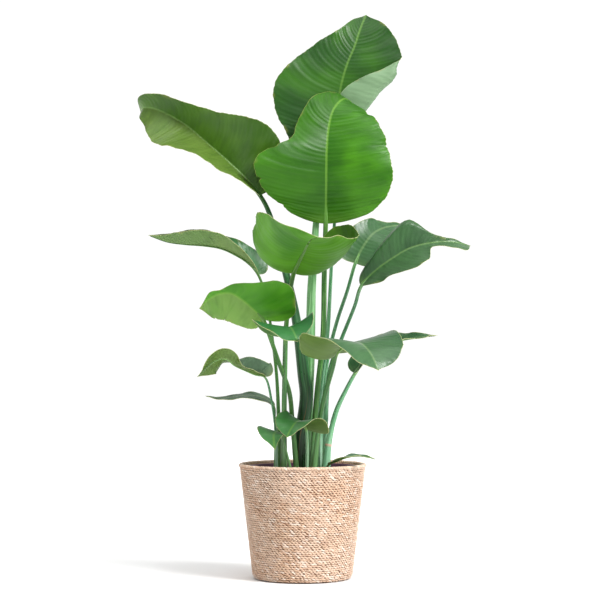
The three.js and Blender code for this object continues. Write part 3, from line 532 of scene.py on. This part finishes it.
class Shader:
    """Builds one node material. Colours are sockets or six hexadecimal digits."""

    def __init__(self, name):
        self.material = bpy.data.materials.new(name)
        self.material.use_nodes = True
        self.tree = self.material.node_tree
        self.tree.nodes.clear()

    def node(self, kind, inputs=None, **settings):
        node = self.tree.nodes.new("ShaderNode" + kind)
        for key, value in settings.items():
            setattr(node, key, value)
        for key, value in (inputs or {}).items():
            self.plug(node.inputs[key], value)
        return node

    def plug(self, socket, value):
        if isinstance(value, bpy.types.NodeSocket):
            self.tree.links.new(value, socket)
        else:
            socket.default_value = rgb(value) if isinstance(value, str) else value

    def value(self, name):
        return self.node("Attribute", attribute_name=name).outputs["Fac"]

    def place(self):
        return self.node("TexCoord").outputs["Object"]

    def math(self, operation, *values):
        return self.node("Math", dict(enumerate(values)), operation=operation).outputs[0]

    def times(self, a, b, plus=0):
        return self.math("MULTIPLY_ADD", a, b, plus)

    def combine(self, *parts):
        return self.node("CombineXYZ", dict(enumerate(parts))).outputs[0]

    def span(self, value, low, high, top=1, bottom=0):
        """bottom where the value is low, top where it is high, and smooth between them."""
        inputs = {"Value": value, "From Min": low, "From Max": high, "To Min": bottom, "To Max": top}
        return self.node("MapRange", inputs, interpolation_type="SMOOTHSTEP").outputs[0]

    def mix(self, share, a, b):
        return self.node("Mix", {0: share, 6: a, 7: b}, data_type="RGBA", clamp_factor=True).outputs[2]

    def paint(self, colour, *layers):
        """Lays colours over one another: each layer is how much of it shows, and its colour."""
        for share, over in layers:
            colour = self.mix(share, colour, over)
        return colour

    def noise(self, vector, scale, detail=2):
        inputs = {"Vector": vector, "Scale": scale, "Detail": detail}
        return self.node("TexNoise", inputs).outputs[0]

    def waves(self, value, length):
        """A wave of the given length, from 0 to 1."""
        return self.times(self.math("SINE", self.times(value, CIRCLE / length)), 0.5, 0.5)

    def surface(self, colour, roughness, **more):
        inputs = {"Base Color": colour, "Roughness": roughness}
        inputs.update({key.replace("_", " "): value for key, value in more.items()})
        return self.node("BsdfPrincipled", inputs).outputs[0]

    def finish(self, surface, height=None, depth=0):
        if height is not None:
            bump = self.node("Bump", {"Height": height, "Strength": 1, "Distance": depth})
            for node in self.tree.nodes:
                if node.type.startswith("BSDF"):
                    self.plug(node.inputs["Normal"], bump.outputs[0])
        self.node("OutputMaterial", {"Surface": surface})
        return self.material


def grainy(name, dark, light, high, roughness, scale, detail, depth):
    """A plain material whose grain mixes two colours and raises its surface."""
    s = Shader(name)
    grain = s.noise(s.place(), scale, detail)
    colour = s.mix(s.span(grain, 0.35, high), dark, light)
    return s.finish(s.surface(colour, roughness), grain, depth)


BROAD_VEINS = 9.1  # distance between veins in millimetres
FINE_VEINS = 1.7
THROUGH = 0.16  # share of a blade's light that comes from behind it


def blade_material(name, colours, gloss, roughness, half_light_and_shade):
    """One side of a leaf's blade, with the colours of UPPER or UNDER."""
    main, second, pale, near_rib, margin, shine = colours.split()
    s = Shader(name)
    vein, share, from_rib, u, edge = map(s.value, ("vein", "share", "from_rib", "u", "edge"))
    place = s.place()
    colour = s.mix(s.span(s.noise(place, 7, 3), 0.38, 0.62), main, second)
    # Painted light and shade on one half of the blade: darker where it is turned from the light, lighter
    # and yellower where light falls on it or shines through it.
    if half_light_and_shade:
        half, half_light_shade_colour, amount = half_light_and_shade
        on_half = s.span(s.times(s.value("half"), half), 0, 0.5)
        drifting = s.span(s.noise(place, 11, 3), 0.3, 0.62, amount, 0.55 * amount)
        colour = s.mix(s.times(on_half, drifting), colour, half_light_shade_colour)
    broad, fine = s.waves(vein, BROAD_VEINS), s.waves(vein, FINE_VEINS)
    drift = s.noise(s.combine(s.times(vein, 0.16), s.times(share, 1.2)), 1, 3)
    lines = s.times(s.span(drift, 0.35, 0.65), s.math("POWER", broad, 3))
    shadow = s.span(s.noise(s.combine(s.times(vein, 0.05), share), 1), 0.55, 0.3, 0.3)
    worn = s.times(s.span(s.noise(place, 34, 3), 0.56, 0.7), s.span(edge, 9, 0, 0.5))
    colour = s.paint(
        colour,
        (s.times(lines, 0.12), pale),
        (s.times(fine, 0.07), pale),
        (shadow, s.mix(0.5, main, "0f2a0c")),
        (s.span(from_rib, 4, 1, 0.4), near_rib),
        (s.span(u, 0.1, 0, 0.25), near_rib),
        (s.span(edge, 1.3, 0.5, 0.6), margin),
        (worn, "9a9a4a"),
        (s.span(s.noise(place, 260, 1), 0.72, 0.8, 0.15), pale),
    )
    rough = s.times(s.noise(place, 30, 3), 0.2, roughness - 0.1)
    height = s.times(fine, 0.12, broad)
    height = s.times(s.noise(place, 420), 0.25, height)
    surface = s.surface(colour, rough, Specular_IOR_Level=gloss)
    glow = s.node("BsdfTranslucent", {"Color": s.mix(0.35, shine, colour)}).outputs[0]
    both = s.node("MixShader", {0: THROUGH, 1: surface, 2: glow})
    return s.finish(both.outputs[0], height, 0.0002)


def stem_material(name, colours, blade, ring=None):
    """A leaf's stalk and rib, with the colours of STALKS, and the height of a leaf scar if any."""
    foot, main, top, rib, streak, shade = colours.split()
    s = Shader(name)
    climb, height, round_x, round_y = map(s.value, ("climb", "height", "grain_x", "grain_y"))
    place = s.place()

    def grain(across, along_stalk, scale, detail):
        x, y = s.times(round_x, across), s.times(round_y, across)
        return s.noise(s.combine(x, y, s.times(height, along_stalk)), scale, detail)

    streaks = grain(3, 0.012, 1.6, 4)
    # The dry edge of the sheath: thin brown lines that run nearly straight up the stalk.
    off_line = s.math("ABSOLUTE", s.math("SUBTRACT", grain(0.9, 0.0016, 1, 1), 0.52))
    low_part = s.span(height, 480, 330, 0.75)
    colour = s.paint(
        s.mix(s.span(climb, 0.05, 0.55), main, top),
        (s.span(height, 350, 240), foot),
        (s.span(climb, 0.9, 1.05), rib),
        (s.span(streaks, 0.5, 0.68, 0.65), streak),
        (s.span(grain(1.7, 0.006, 1.3, 2), 0.5, 0.36, 0.6), shade),
        (s.times(s.span(off_line, 0.012, 0.003), low_part), "8a6040"),
    )
    if ring:
        off_ring = s.math("ABSOLUTE", s.math("SUBTRACT", height, ring))
        below = s.span(height, ring, ring - 1, 0.5)
        colour = s.paint(colour, (s.span(off_ring, 3.4, 2), "d3ab95"), (below, "64a47a"))
    speck = s.span(s.noise(place, 300, 1), 0.7, 0.8, 0.3)
    colour = s.paint(colour, (s.span(climb, 1.5, 1.95, 0.85), blade), (speck, streak))
    rough = s.times(s.noise(place, 25, 3), 0.2, 0.2)
    return s.finish(s.surface(colour, rough, IOR=1.42), streaks, 0.0004)


# Main and second colour, veins, beside the rib, margin, and light that comes through.
UPPER = dict(
    deep="234f16 376c14 4a7d4a 7fae4e 8a9a5a 4f8f2e",
    slate="2a4e2c 3c6838 5a8458 86b060 8a9a5a 5a943a",
    leaf="2c6b3a 3a7c40 5c9658 7fae5a c9cb8c 5fa03a",
    bright="286208 46880e 64a038 8cc04c a8b060 6fb52a",
    mid="3c6418 54801e 6a9648 86b05a a8b070 62a52e",
    lush="3a8414 55a01c 7ab050 8cc04c b8bc78 76b82e",
    clear="3a7a38 529450 7cb478 8cc04c b8bc78 6fb03a",
    dusty="4f6f52 5f7f60 8aa488 9db57a c9cb8c 6a9c4c",
    grey="35603a 446f42 628a5c 8fae74 c9cb8c 6a9c4c",
)
UNDER = dict(
    deep="47703c 527e40 6e925c 93b07c c9cb8c 6a9c4c",
    bright="3a780e 5c9c24 74aa4c 94bd5e c9cb8c 74b52e",
    olive="52702e 5f7e34 7c9858 9db57a c9cb8c 74983a",
    mid="557a3c 648a46 80a062 9db57a c9cb8c 74a53e",
    pale="648a40 78984c 98b47a a8bd86 c9cb8c 86ad56",
    grey="6d9266 7fa278 a0bb90 b5c89e c4d0a8 86ad66",
)
GLOSS = dict(bright=0.25, lush=0.3, mid=0.35, deep=0.3)  # the duller kinds, of either side
PLAIN_GLOSS = 0.5
UPPER_ROUGHNESS, UNDER_ROUGHNESS = 0.34, 0.5

# Colours of the stalks: foot, along the stalk, under the blade, rib, streaks, shaded streaks.
STALKS = dict(
    blue="a8d6b4 62a478 4c8c58 78a850 b4dcbc 2c5c3c",
    green="7aae70 4a8a50 3f7a3a 7a9f4c 7aa860 24502a",
    fresh="5f9a5a 66a45c 7cb878 7cb878 c0e4b8 3f7c3a",
    # dark is painted shade: the thick stalk that stands in the shade of the leaves above it is coloured
    # nearly black-green all along.
    dark="182e16 1e3e20 2f6338 4a7430 3c7040 0e1e0e",
    yellow="8cc084 4c8440 35682c 5f9434 86b868 28501e",
    olive="5d8a4e 417a38 417430 547e2c 7aa860 24502a",
    pale="9ccaa0 74ad80 68a26c 8cb45c b8dcb8 3f7a50",
    ringed="a4d8b0 94d0a4 68a876 84ac58 a4d0ac 3a7450",
)
RING_HEIGHT = 289  # of the scar on the stalk that has one
FIRST_SEED = 101

s = Shader("leaf_margin")
colour = s.mix(s.noise(s.place(), 60), "a8b478", "cfcf9c")
margin_material = s.finish(s.surface(colour, 0.55), s.noise(s.place(), 500), 0.0002)

for index, (node, leaf) in enumerate(LEAVES.items()):
    upper, under, stalk = leaf["kinds"].split()
    half_light_and_shade, ring = leaf.get("half_light_and_shade"), RING_HEIGHT if stalk == "ringed" else None
    upper_gloss, under_gloss = (GLOSS.get(kind, PLAIN_GLOSS) for kind in (upper, under))
    leaf_piece(node, leaf, FIRST_SEED + index, [
        blade_material(node + "_upper", UPPER[upper], upper_gloss, UPPER_ROUGHNESS, half_light_and_shade),
        blade_material(node + "_under", UNDER[under], under_gloss, UNDER_ROUGHNESS, half_light_and_shade),
        margin_material,
        stem_material(node + "_stem", STALKS[stalk], UPPER[upper].split()[0], ring),
    ])

# ---- Basket ----

BASKET_HEIGHT = 250
TOP_RADIUS = 139
FOOT_RADIUS = 109
CORNER = 13
WALL = 8
FLOOR = 10
ROWS = 51
LOW_ROWS = 25  # rows in the lower of the two pieces
INNER_ROWS = 7
STRAND_LENGTH = 12
STRAND_SPACING = 7.8
STRAND_WIDTH = 3.7
STRAND_DEPTH = 3.2
STRAND_BOW = 0.9  # how far a strand's ends dip into the wall
STRAND_RINGS = STRAND_SIDES = 5
ROW_SHIFT = 0.38  # of a strand's spacing, from each row to the next
SLANT = math.radians(-19)
RIM_STRANDS = 138
RIM_RADIUS = TOP_RADIUS - 4.2
RIM_HEIGHT = 245.1
RIM_CORE = 2.5  # radius of what the rim's strands are wound on
RIM_RINGS, RIM_SIDES = 9, 6
RIM_TWIST = 0.045  # how far a strand turns round the basket, from its middle to each side


def wall_radius(z):
    return FOOT_RADIUS + (TOP_RADIUS - FOOT_RADIUS) * z / BASKET_HEIGHT


def outer_radius(z):
    """The wall's outer radius under the strands, rounded in at the foot."""
    below = np.clip((CORNER - z) / CORNER, 0, 1)
    return wall_radius(z) - 1.9 - CORNER * (1 - np.sqrt(1 - below ** 2)) * 0.8


def inner_radius(z):
    return wall_radius(z) - WALL + 0.6


def lathe(profile, sides, wave):
    """A closed body of revolution from (radius, height) pairs; the first and last lie on the axis."""
    profile = np.array(profile, float)
    inner = profile[1:-1]
    angle = CIRCLE * np.arange(sides) / sides
    ring = np.stack([np.cos(angle), np.sin(angle)], 1)
    radius, height = wave(inner[:, :1] * np.ones(sides), inner[:, 1:] * np.ones(sides), angle)
    points = np.concatenate([radius[..., None] * ring, height[..., None]], 2)
    index, after, quads = ring_quads(len(inner), sides)
    poles = len(inner) * sides
    low = np.stack([np.full(sides, poles), after[0], index[0]], 1)
    high = np.stack([np.full(sides, poles + 1), index[-1], after[-1]], 1)
    ends = [[0, 0, profile[0, 1]], [0, 0, profile[-1, 1]]]
    return np.vstack([points.reshape(-1, 3), ends]), [(quads, 0), (low, 0), (high, 0)]


def round_ways(angle):
    """Directions away from the axis and round it at each angle."""
    x, y, z = np.cos(angle), np.sin(angle), 0 * angle
    return np.stack([x, y, z], 1), np.stack([-y, x, z], 1)


def strands(centres, tangents, outward, lengths, widths):
    """Many short bundles of grass, each a lens-shaped bar along its tangent."""
    count, size = len(centres), STRAND_RINGS * STRAND_SIDES
    s = np.linspace(-1, 1, STRAND_RINGS)
    taper = 1 - 0.62 * np.abs(s) ** 2.4
    angle = CIRCLE * (np.arange(STRAND_SIDES) + 0.25) / STRAND_SIDES
    across = np.cross(outward, tangents)
    run = 0.5 * lengths[:, None, None] * s[:, None]
    wide = 0.5 * widths[:, None, None] * taper[:, None] * np.cos(angle)
    deep = 0.5 * STRAND_DEPTH * taper[:, None] * np.sin(angle) - (STRAND_BOW * s ** 2)[:, None]
    points = centres[:, None, None] + tangents[:, None, None] * run[..., None]
    points = points + across[:, None, None] * wide[..., None] + outward[:, None, None] * deep[..., None]
    index, _, quads = ring_quads(STRAND_RINGS, STRAND_SIDES)
    first = (np.arange(count) * size)[:, None, None]
    quads = (quads[None] + first).reshape(-1, 4)
    caps = (np.stack([index[0, ::-1], index[-1]])[None] + first).reshape(-1, STRAND_SIDES)
    return points.reshape(-1, 3), [(quads, 0), (caps, 0)], {
        "tint": np.repeat(rng.random(count), size),
        "run": np.tile(np.repeat(s, STRAND_SIDES), count),
        "around": np.tile(angle, STRAND_RINGS * count),
    }


def wall_strands(name, material, rows, radius_of, facing):
    """Rows of slanted strands on a cone: facing is 1 for the outside and -1 for the inside."""
    lean = math.atan((TOP_RADIUS - FOOT_RADIUS) / BASKET_HEIGHT)
    centres, tangents, outward = [], [], []
    for row, z in enumerate(rows):
        radius = radius_of(z)
        count = int(CIRCLE * radius / STRAND_SPACING)
        angle = CIRCLE * (np.arange(count) + ROW_SHIFT * row + 0.07 * rng.standard_normal(count)) / count
        sway = 0.2 * rng.standard_normal(count) + 0.3 * np.sin(3 * angle + 0.05 * z)
        ring, round_way = round_ways(angle)
        out = facing * (ring * math.cos(lean) - UP * math.sin(lean))
        rise = ring * math.sin(lean) + UP * math.cos(lean)
        tilt = (facing * SLANT + 0.05 * rng.standard_normal(count))[:, None]
        tangents.append(round_way * np.cos(tilt) + rise * np.sin(tilt))
        outward.append(out)
        lift = 0.15 * rng.standard_normal(count)[:, None]
        centres.append(ring * radius + UP * (z + sway[:, None]) + out * lift)
    centres, tangents, outward = (np.vstack(part) for part in (centres, tangents, outward))
    lengths = STRAND_LENGTH * (1 + 0.1 * rng.standard_normal(len(centres)))
    widths = STRAND_WIDTH * (1 + 0.1 * rng.standard_normal(len(centres)))
    points, faces, values = strands(centres, tangents, outward, lengths, widths)
    dress(mesh_piece(name, points, faces, [material], values), "basket")


def seagrass(name, dark, main, pale):
    s = Shader(name)
    tint, run, around = map(s.value, ("tint", "run", "around"))
    fibre = s.noise(s.combine(s.times(run, 1.2), s.times(around, 5), s.times(tint, 90)), 1, 3)
    colour = s.paint(
        s.mix(s.span(tint, 0, 0.3, 1, 0.35), dark, main),
        (s.span(tint, 0.7, 1, 0.6), pale),
        (s.span(fibre, 0.5, 0.7, 0.5), pale),
        (s.span(fibre, 0.46, 0.3, 0.4), dark),
        # Painted shade: each strand's ends, where they dip into the wall between their neighbours, are
        # coloured a darker brown.
        (s.span(s.math("ABSOLUTE", run), 0.55, 1, 0.8), "946648"),
        (s.span(s.noise(s.place(), 9), 0.4, 0.62, 0.15), pale),
    )
    rough = s.times(fibre, 0.3, 0.38)
    return s.finish(s.surface(colour, rough, Sheen_Weight=0.15), fibre, 0.0005)


GRASS = seagrass("seagrass_strands", "b88a66", "d8b496", "f6eade")
# The inside wall's grass is a darker, warmer copy of the same grass: painted shade for the inside of the
# basket.
GRASS_SHADED_INSIDE = seagrass("seagrass_inside_shaded", "a86c48", "d09c74", "e8caac")

rng = np.random.default_rng(7)
pitch = (BASKET_HEIGHT - 6 - 0.2 * CORNER) / ROWS
row_heights = 0.2 * CORNER + pitch * (np.arange(ROWS) + 0.5)
inner_rows = BASKET_HEIGHT - 8 - pitch * np.arange(INNER_ROWS)
wall_strands("basket_strands_low", GRASS, row_heights[:LOW_ROWS], outer_radius, 1)
wall_strands("basket_strands_high", GRASS, row_heights[LOW_ROWS:], outer_radius, 1)
wall_strands("basket_strands_inside", GRASS_SHADED_INSIDE, inner_rows, inner_radius, -1)

# The rim: lengths of grass wound over the top edge.
angle = CIRCLE * (np.arange(RIM_STRANDS) + 0.12 * rng.standard_normal(RIM_STRANDS)) / RIM_STRANDS
arc = np.linspace(-0.75, math.pi + 0.75, RIM_RINGS)
run = np.linspace(-1, 1, RIM_RINGS)
fat = 1 - 0.3 * np.abs(run) ** 3
section = CIRCLE * (np.arange(RIM_SIDES) + 0.5) / RIM_SIDES
tube_size = RIM_RINGS * RIM_SIDES
rim_points, rim_quads, rim_caps, rim_tints = [], [], [], []
for k, turn in enumerate(angle):
    size = 1 + 0.06 * rng.standard_normal()
    ring, _ = round_ways(turn - RIM_TWIST * (arc - math.pi / 2) / (math.pi / 2))
    height = (RIM_HEIGHT + RIM_CORE * np.sin(arc))[:, None]
    centre = ring * (RIM_RADIUS + RIM_CORE * np.cos(arc))[:, None] + UP * height
    away = unit(ring * np.cos(arc)[:, None] + UP * np.sin(arc)[:, None])
    side = unit(np.cross(unit(np.gradient(centre, axis=0)), away))
    wide = 2.5 * size * np.outer(fat, np.cos(section))
    deep = 2.2 * size * np.outer(fat, np.sin(section))
    points, quads, caps = tube(centre, side, away, np.stack([wide, deep], -1))
    rim_points.append(points)
    rim_quads.append(quads + k * tube_size)
    rim_caps += [cap + k * tube_size for cap in caps]
    rim_tints.append(np.full(tube_size, rng.random()))
rim_faces = [(np.vstack(rim_quads), 0), (np.vstack(rim_caps), 0)]
rim_values = {
    "tint": np.concatenate(rim_tints),
    "run": np.tile(np.repeat(run, RIM_SIDES), RIM_STRANDS),
    "around": np.tile(section, RIM_RINGS * RIM_STRANDS),
}
dress(mesh_piece("basket_rim", np.vstack(rim_points), rim_faces, [GRASS], rim_values), "basket")

# What lies between the strands: the wound core of the coils, and the coils of the base.
BASE_COILS = 18
core = [(0, 1.4)]
for k in range(BASE_COILS):
    r = 4 + k * 5.2
    core += [(r, 0.9), (r + 1.3, 0.1), (r + 2.6, 0.1), (r + 3.9, 0.9)]
core += [(FOOT_RADIUS - CORNER + 2, 0.9), (FOOT_RADIUS - 0.45 * CORNER, 2.5)]
for z in row_heights:
    core += [(outer_radius(z - pitch / 2) - 2.2, z - pitch / 2), (outer_radius(z) - 1.0, z)]
core += [(TOP_RADIUS - 4, BASKET_HEIGHT - 4), (wall_radius(BASKET_HEIGHT) - WALL + 1.5, BASKET_HEIGHT - 6)]
core += [(wall_radius(z) - WALL + 0.8, z) for z in inner_rows]
core += [(wall_radius(FLOOR) - WALL + 1, FLOOR), (0, FLOOR)]


def core_wave(radius, height, angle):
    return radius + 0.25 * np.sin(90 * angle) * (height > 6), height


core_material = grainy("seagrass_core", "6a4228", "94683f", 0.65, 0.75, 380, 3, 0.0008)
points, faces = lathe(core, 360, core_wave)
dress(mesh_piece("basket_core", points, faces, [core_material]), "basket")

# ---- Pot and soil ----

POT_FOOT = 10.4
POT_RIM = 243
POT_FOOT_RADIUS = 92
POT_RIM_RADIUS = 122
POT_WALL = 1.6
POT_LIP = 12  # height of the thicker part at the pot's rim
POT_BOTTOM = 2
SOIL_BASE = 190  # height down to which the soil is modelled
SOIL_GAP = 2.6
SOIL_DOME = 3
SOIL_RINGS = 26
CRUMBS = 1300


def pot_radius(z):
    return POT_FOOT_RADIUS + (POT_RIM_RADIUS - POT_FOOT_RADIUS) * (z - POT_FOOT) / (POT_RIM - POT_FOOT)


lip_foot = POT_RIM - POT_LIP
profile = [(0, POT_FOOT), (88, POT_FOOT), (91, POT_FOOT + 0.6), (92.4, POT_FOOT + 3)]
profile += [(pot_radius(z), z) for z in np.linspace(POT_FOOT + 8, lip_foot, 8)]
profile += [
    (pot_radius(lip_foot) + 2.6, lip_foot + 0.1), (pot_radius(lip_foot) + 3.7, lip_foot + 0.8),
    (125.4, POT_RIM - 1.2), (125.2, POT_RIM - 0.3), (124.4, POT_RIM), (121.2, POT_RIM),
    (120.5, POT_RIM - 0.4), (120.2, POT_RIM - 1.2),
]
floor_top = POT_FOOT + POT_BOTTOM
profile += [(pot_radius(z) - POT_WALL, z) for z in np.linspace(POT_RIM - 4, floor_top, 10)]
profile += [(0, floor_top)]
points, faces = lathe(profile, 96, lambda radius, height, angle: (radius, height))
s = Shader("pot_plastic")
dust = s.span(s.noise(s.place(), 22, 4), 0.45, 0.7)
surface = s.surface(s.mix(dust, "5c3450", "7a5568"), s.times(dust, 0.25, 0.36))
pot_material = s.finish(surface, s.noise(s.place(), 900), 0.0001)
dress(mesh_piece("nursery_pot_fine", points, faces, [pot_material]), "nursery_pot")

soil_edge = pot_radius(SOIL_HEIGHT) - SOIL_GAP
profile = [(0, SOIL_BASE), (pot_radius(SOIL_BASE) - SOIL_GAP, SOIL_BASE)]
for share in np.linspace(0, 1, SOIL_RINGS + 1)[:0:-1]:
    profile.append((soil_edge * share, SOIL_HEIGHT + SOIL_DOME * (1 - share * share)))
profile.append((0, SOIL_HEIGHT + SOIL_DOME))


def lumps(radius, height, angle):
    x, y = radius * np.cos(angle), radius * np.sin(angle)
    bump = np.zeros_like(x)
    source = np.random.default_rng(31)
    for length, size in ((34, 1.1), (17, 0.8), (8, 0.7)):
        for _ in range(3):
            way = source.uniform(0, math.pi)
            phase = CIRCLE * (x * math.cos(way) + y * math.sin(way)) / length
            bump += size * 0.6 * np.sin(phase + source.uniform(0, 6))
    return radius, height + bump * (height > 200)


points, faces = lathe(profile, 120, lumps)
soil_material = grainy("soil_ground", "2c1f18", "5b4232", 0.7, 0.92, 240, 5, 0.002)
dress(mesh_piece("soil_fine", points, faces, [soil_material]), "soil")

# Crumbs of bark and soil on its surface: uneven icosahedra.
golden = (1 + 5 ** 0.5) / 2
corners = np.array([np.roll((a, b, 0), k) for k in range(3) for b in (golden, -golden) for a in (-1, 1)])
triangles = []
for trio in itertools.combinations(range(12), 3):
    a, b, c = corners[list(trio)]
    if max(np.linalg.norm(a - b), np.linalg.norm(b - c), np.linalg.norm(c - a)) < 2.1:
        triangles.append(trio if np.linalg.det([a, b, c]) > 0 else trio[::-1])
corners = unit(corners)
stalk_spots = [(*leaf["stalk"][0][:2], leaf["girth"][0]) for leaf in LEAVES.values()]
crumbs, crumb_tints = [], []
while len(crumbs) < CRUMBS:
    radius, turn = soil_edge * math.sqrt(rng.random()), CIRCLE * rng.random()
    x, y = radius * math.cos(turn), radius * math.sin(turn)
    size = 1.3 + 3.2 * rng.random() ** 2.5
    shape = corners * (1 + 0.28 * rng.standard_normal((12, 1)))
    shape = shape * size * rng.uniform(0.45, 1.25, 3)
    spin = rng.uniform(0, CIRCLE)
    cos, sin = math.cos(spin), math.sin(spin)
    shape = shape @ [[cos, sin, 0], [-sin, cos, 0], [0, 0, 1]]
    tint = rng.random()
    on_stalk = any(math.hypot(x - a, y - b) < girth + size for a, b, girth in stalk_spots)
    if on_stalk or radius > soil_edge - size * 1.3:
        continue
    height = SOIL_HEIGHT + 3.4 * (1 - (radius / soil_edge) ** 2) + 0.3 * size
    crumbs.append(shape + [x, y, height])
    crumb_tints.append(np.full(12, tint))
crumb_faces = (np.array(triangles)[None] + 12 * np.arange(CRUMBS)[:, None, None]).reshape(-1, 3)
s = Shader("soil_crumbs")
tint, grain = s.value("tint"), s.noise(s.place(), 500, 3)
colour = s.paint(
    s.mix(s.span(tint, 0.2, 0.8), "33241b", "6d4d37"),
    (s.span(tint, 0.955, 0.96), "b9b0a2"),
    (s.span(grain, 0.4, 0.7, 0.5), "2a1d15"),
)
crumb_material = s.finish(s.surface(colour, 0.9), grain, 0.001)
crumb_values = {"tint": np.concatenate(crumb_tints)}
crumb_piece = mesh_piece(
    "soil_crumbs", np.vstack(crumbs), [(crumb_faces, 0)], [crumb_material], crumb_values, False,
)
dress(crumb_piece, "soil")

# ---- Studio ----

FLOOR_HALF = 20000
WALL_FAR = 18000  # radius of the studio's wall
WALL_TOP = 14000
WALL_SIDES = 96

scene = bpy.context.scene
scene.view_settings.view_transform = "Standard"

s = Shader("studio_floor")
floor_material = s.finish(s.surface((0.92, 0.92, 0.92, 1), 0.9))
s = Shader("studio_backdrop")
white = s.finish(s.node("Emission", {"Color": (1, 1, 1, 1), "Strength": 1.05}).outputs[0])

quad = [([0, 1, 2, 3], 0)]
points = [(x * FLOOR_HALF, y * FLOOR_HALF, 0) for x, y in ((-1, -1), (1, -1), (1, 1), (-1, 1))]
mesh_piece("studio_floor", points, quad, [floor_material])
points = [(-9000, 8000, -1000), (9000, 8000, -1000), (9000, 8000, 9000), (-9000, 8000, 9000)]
mesh_piece("studio_backdrop", points, quad, [white])

# A white wall round the studio, which is seen but gives no light.
ring, _ = round_ways(CIRCLE * np.arange(WALL_SIDES) / WALL_SIDES)
points = np.vstack([ring * WALL_FAR + UP * z for z in (10, WALL_TOP)])
faces = [(ring_quads(2, WALL_SIDES)[2], 0)]
wall = mesh_piece("studio_wall", points, faces, [white])
wall.visible_diffuse = wall.visible_glossy = wall.visible_transmission = wall.visible_shadow = False

world = bpy.data.worlds.new("studio")
world.use_nodes = True
background = world.node_tree.nodes["Background"].inputs
background["Color"].default_value = (1, 1, 1, 1)
background["Strength"].default_value = 0.55
scene.world = world

# Far, wide lights: azimuth 0 is behind the camera and 90 is on the right.
for name, azimuth, elevation, softness, power in (("key", 52, 38, 24, 3.4), ("top", 10, 78, 50, 1.1)):
    data = bpy.data.lights.new(name, "SUN")
    data.angle = math.radians(softness)
    data.energy = power
    turn, rise = math.radians(azimuth), math.radians(elevation)
    source = Vector((math.sin(turn) * math.cos(rise), -math.cos(turn) * math.cos(rise), math.sin(rise)))
    light = bpy.data.objects.new(name, data)
    light.rotation_euler = source.to_track_quat("Z", "Y").to_euler()
    scene.collection.objects.link(light)

camera_data = bpy.data.cameras.new("camera")
camera_data.sensor_width = 36
camera_data.lens = 109.7
camera = bpy.data.objects.new("camera", camera_data)
camera.location = (-0.0055, -4.0, 0.51)
aim = Vector((-0.0055, 0, 0.606))
camera.rotation_euler = (aim - camera.location).to_track_quat("-Z", "Y").to_euler()
scene.collection.objects.link(camera)
scene.camera = camera
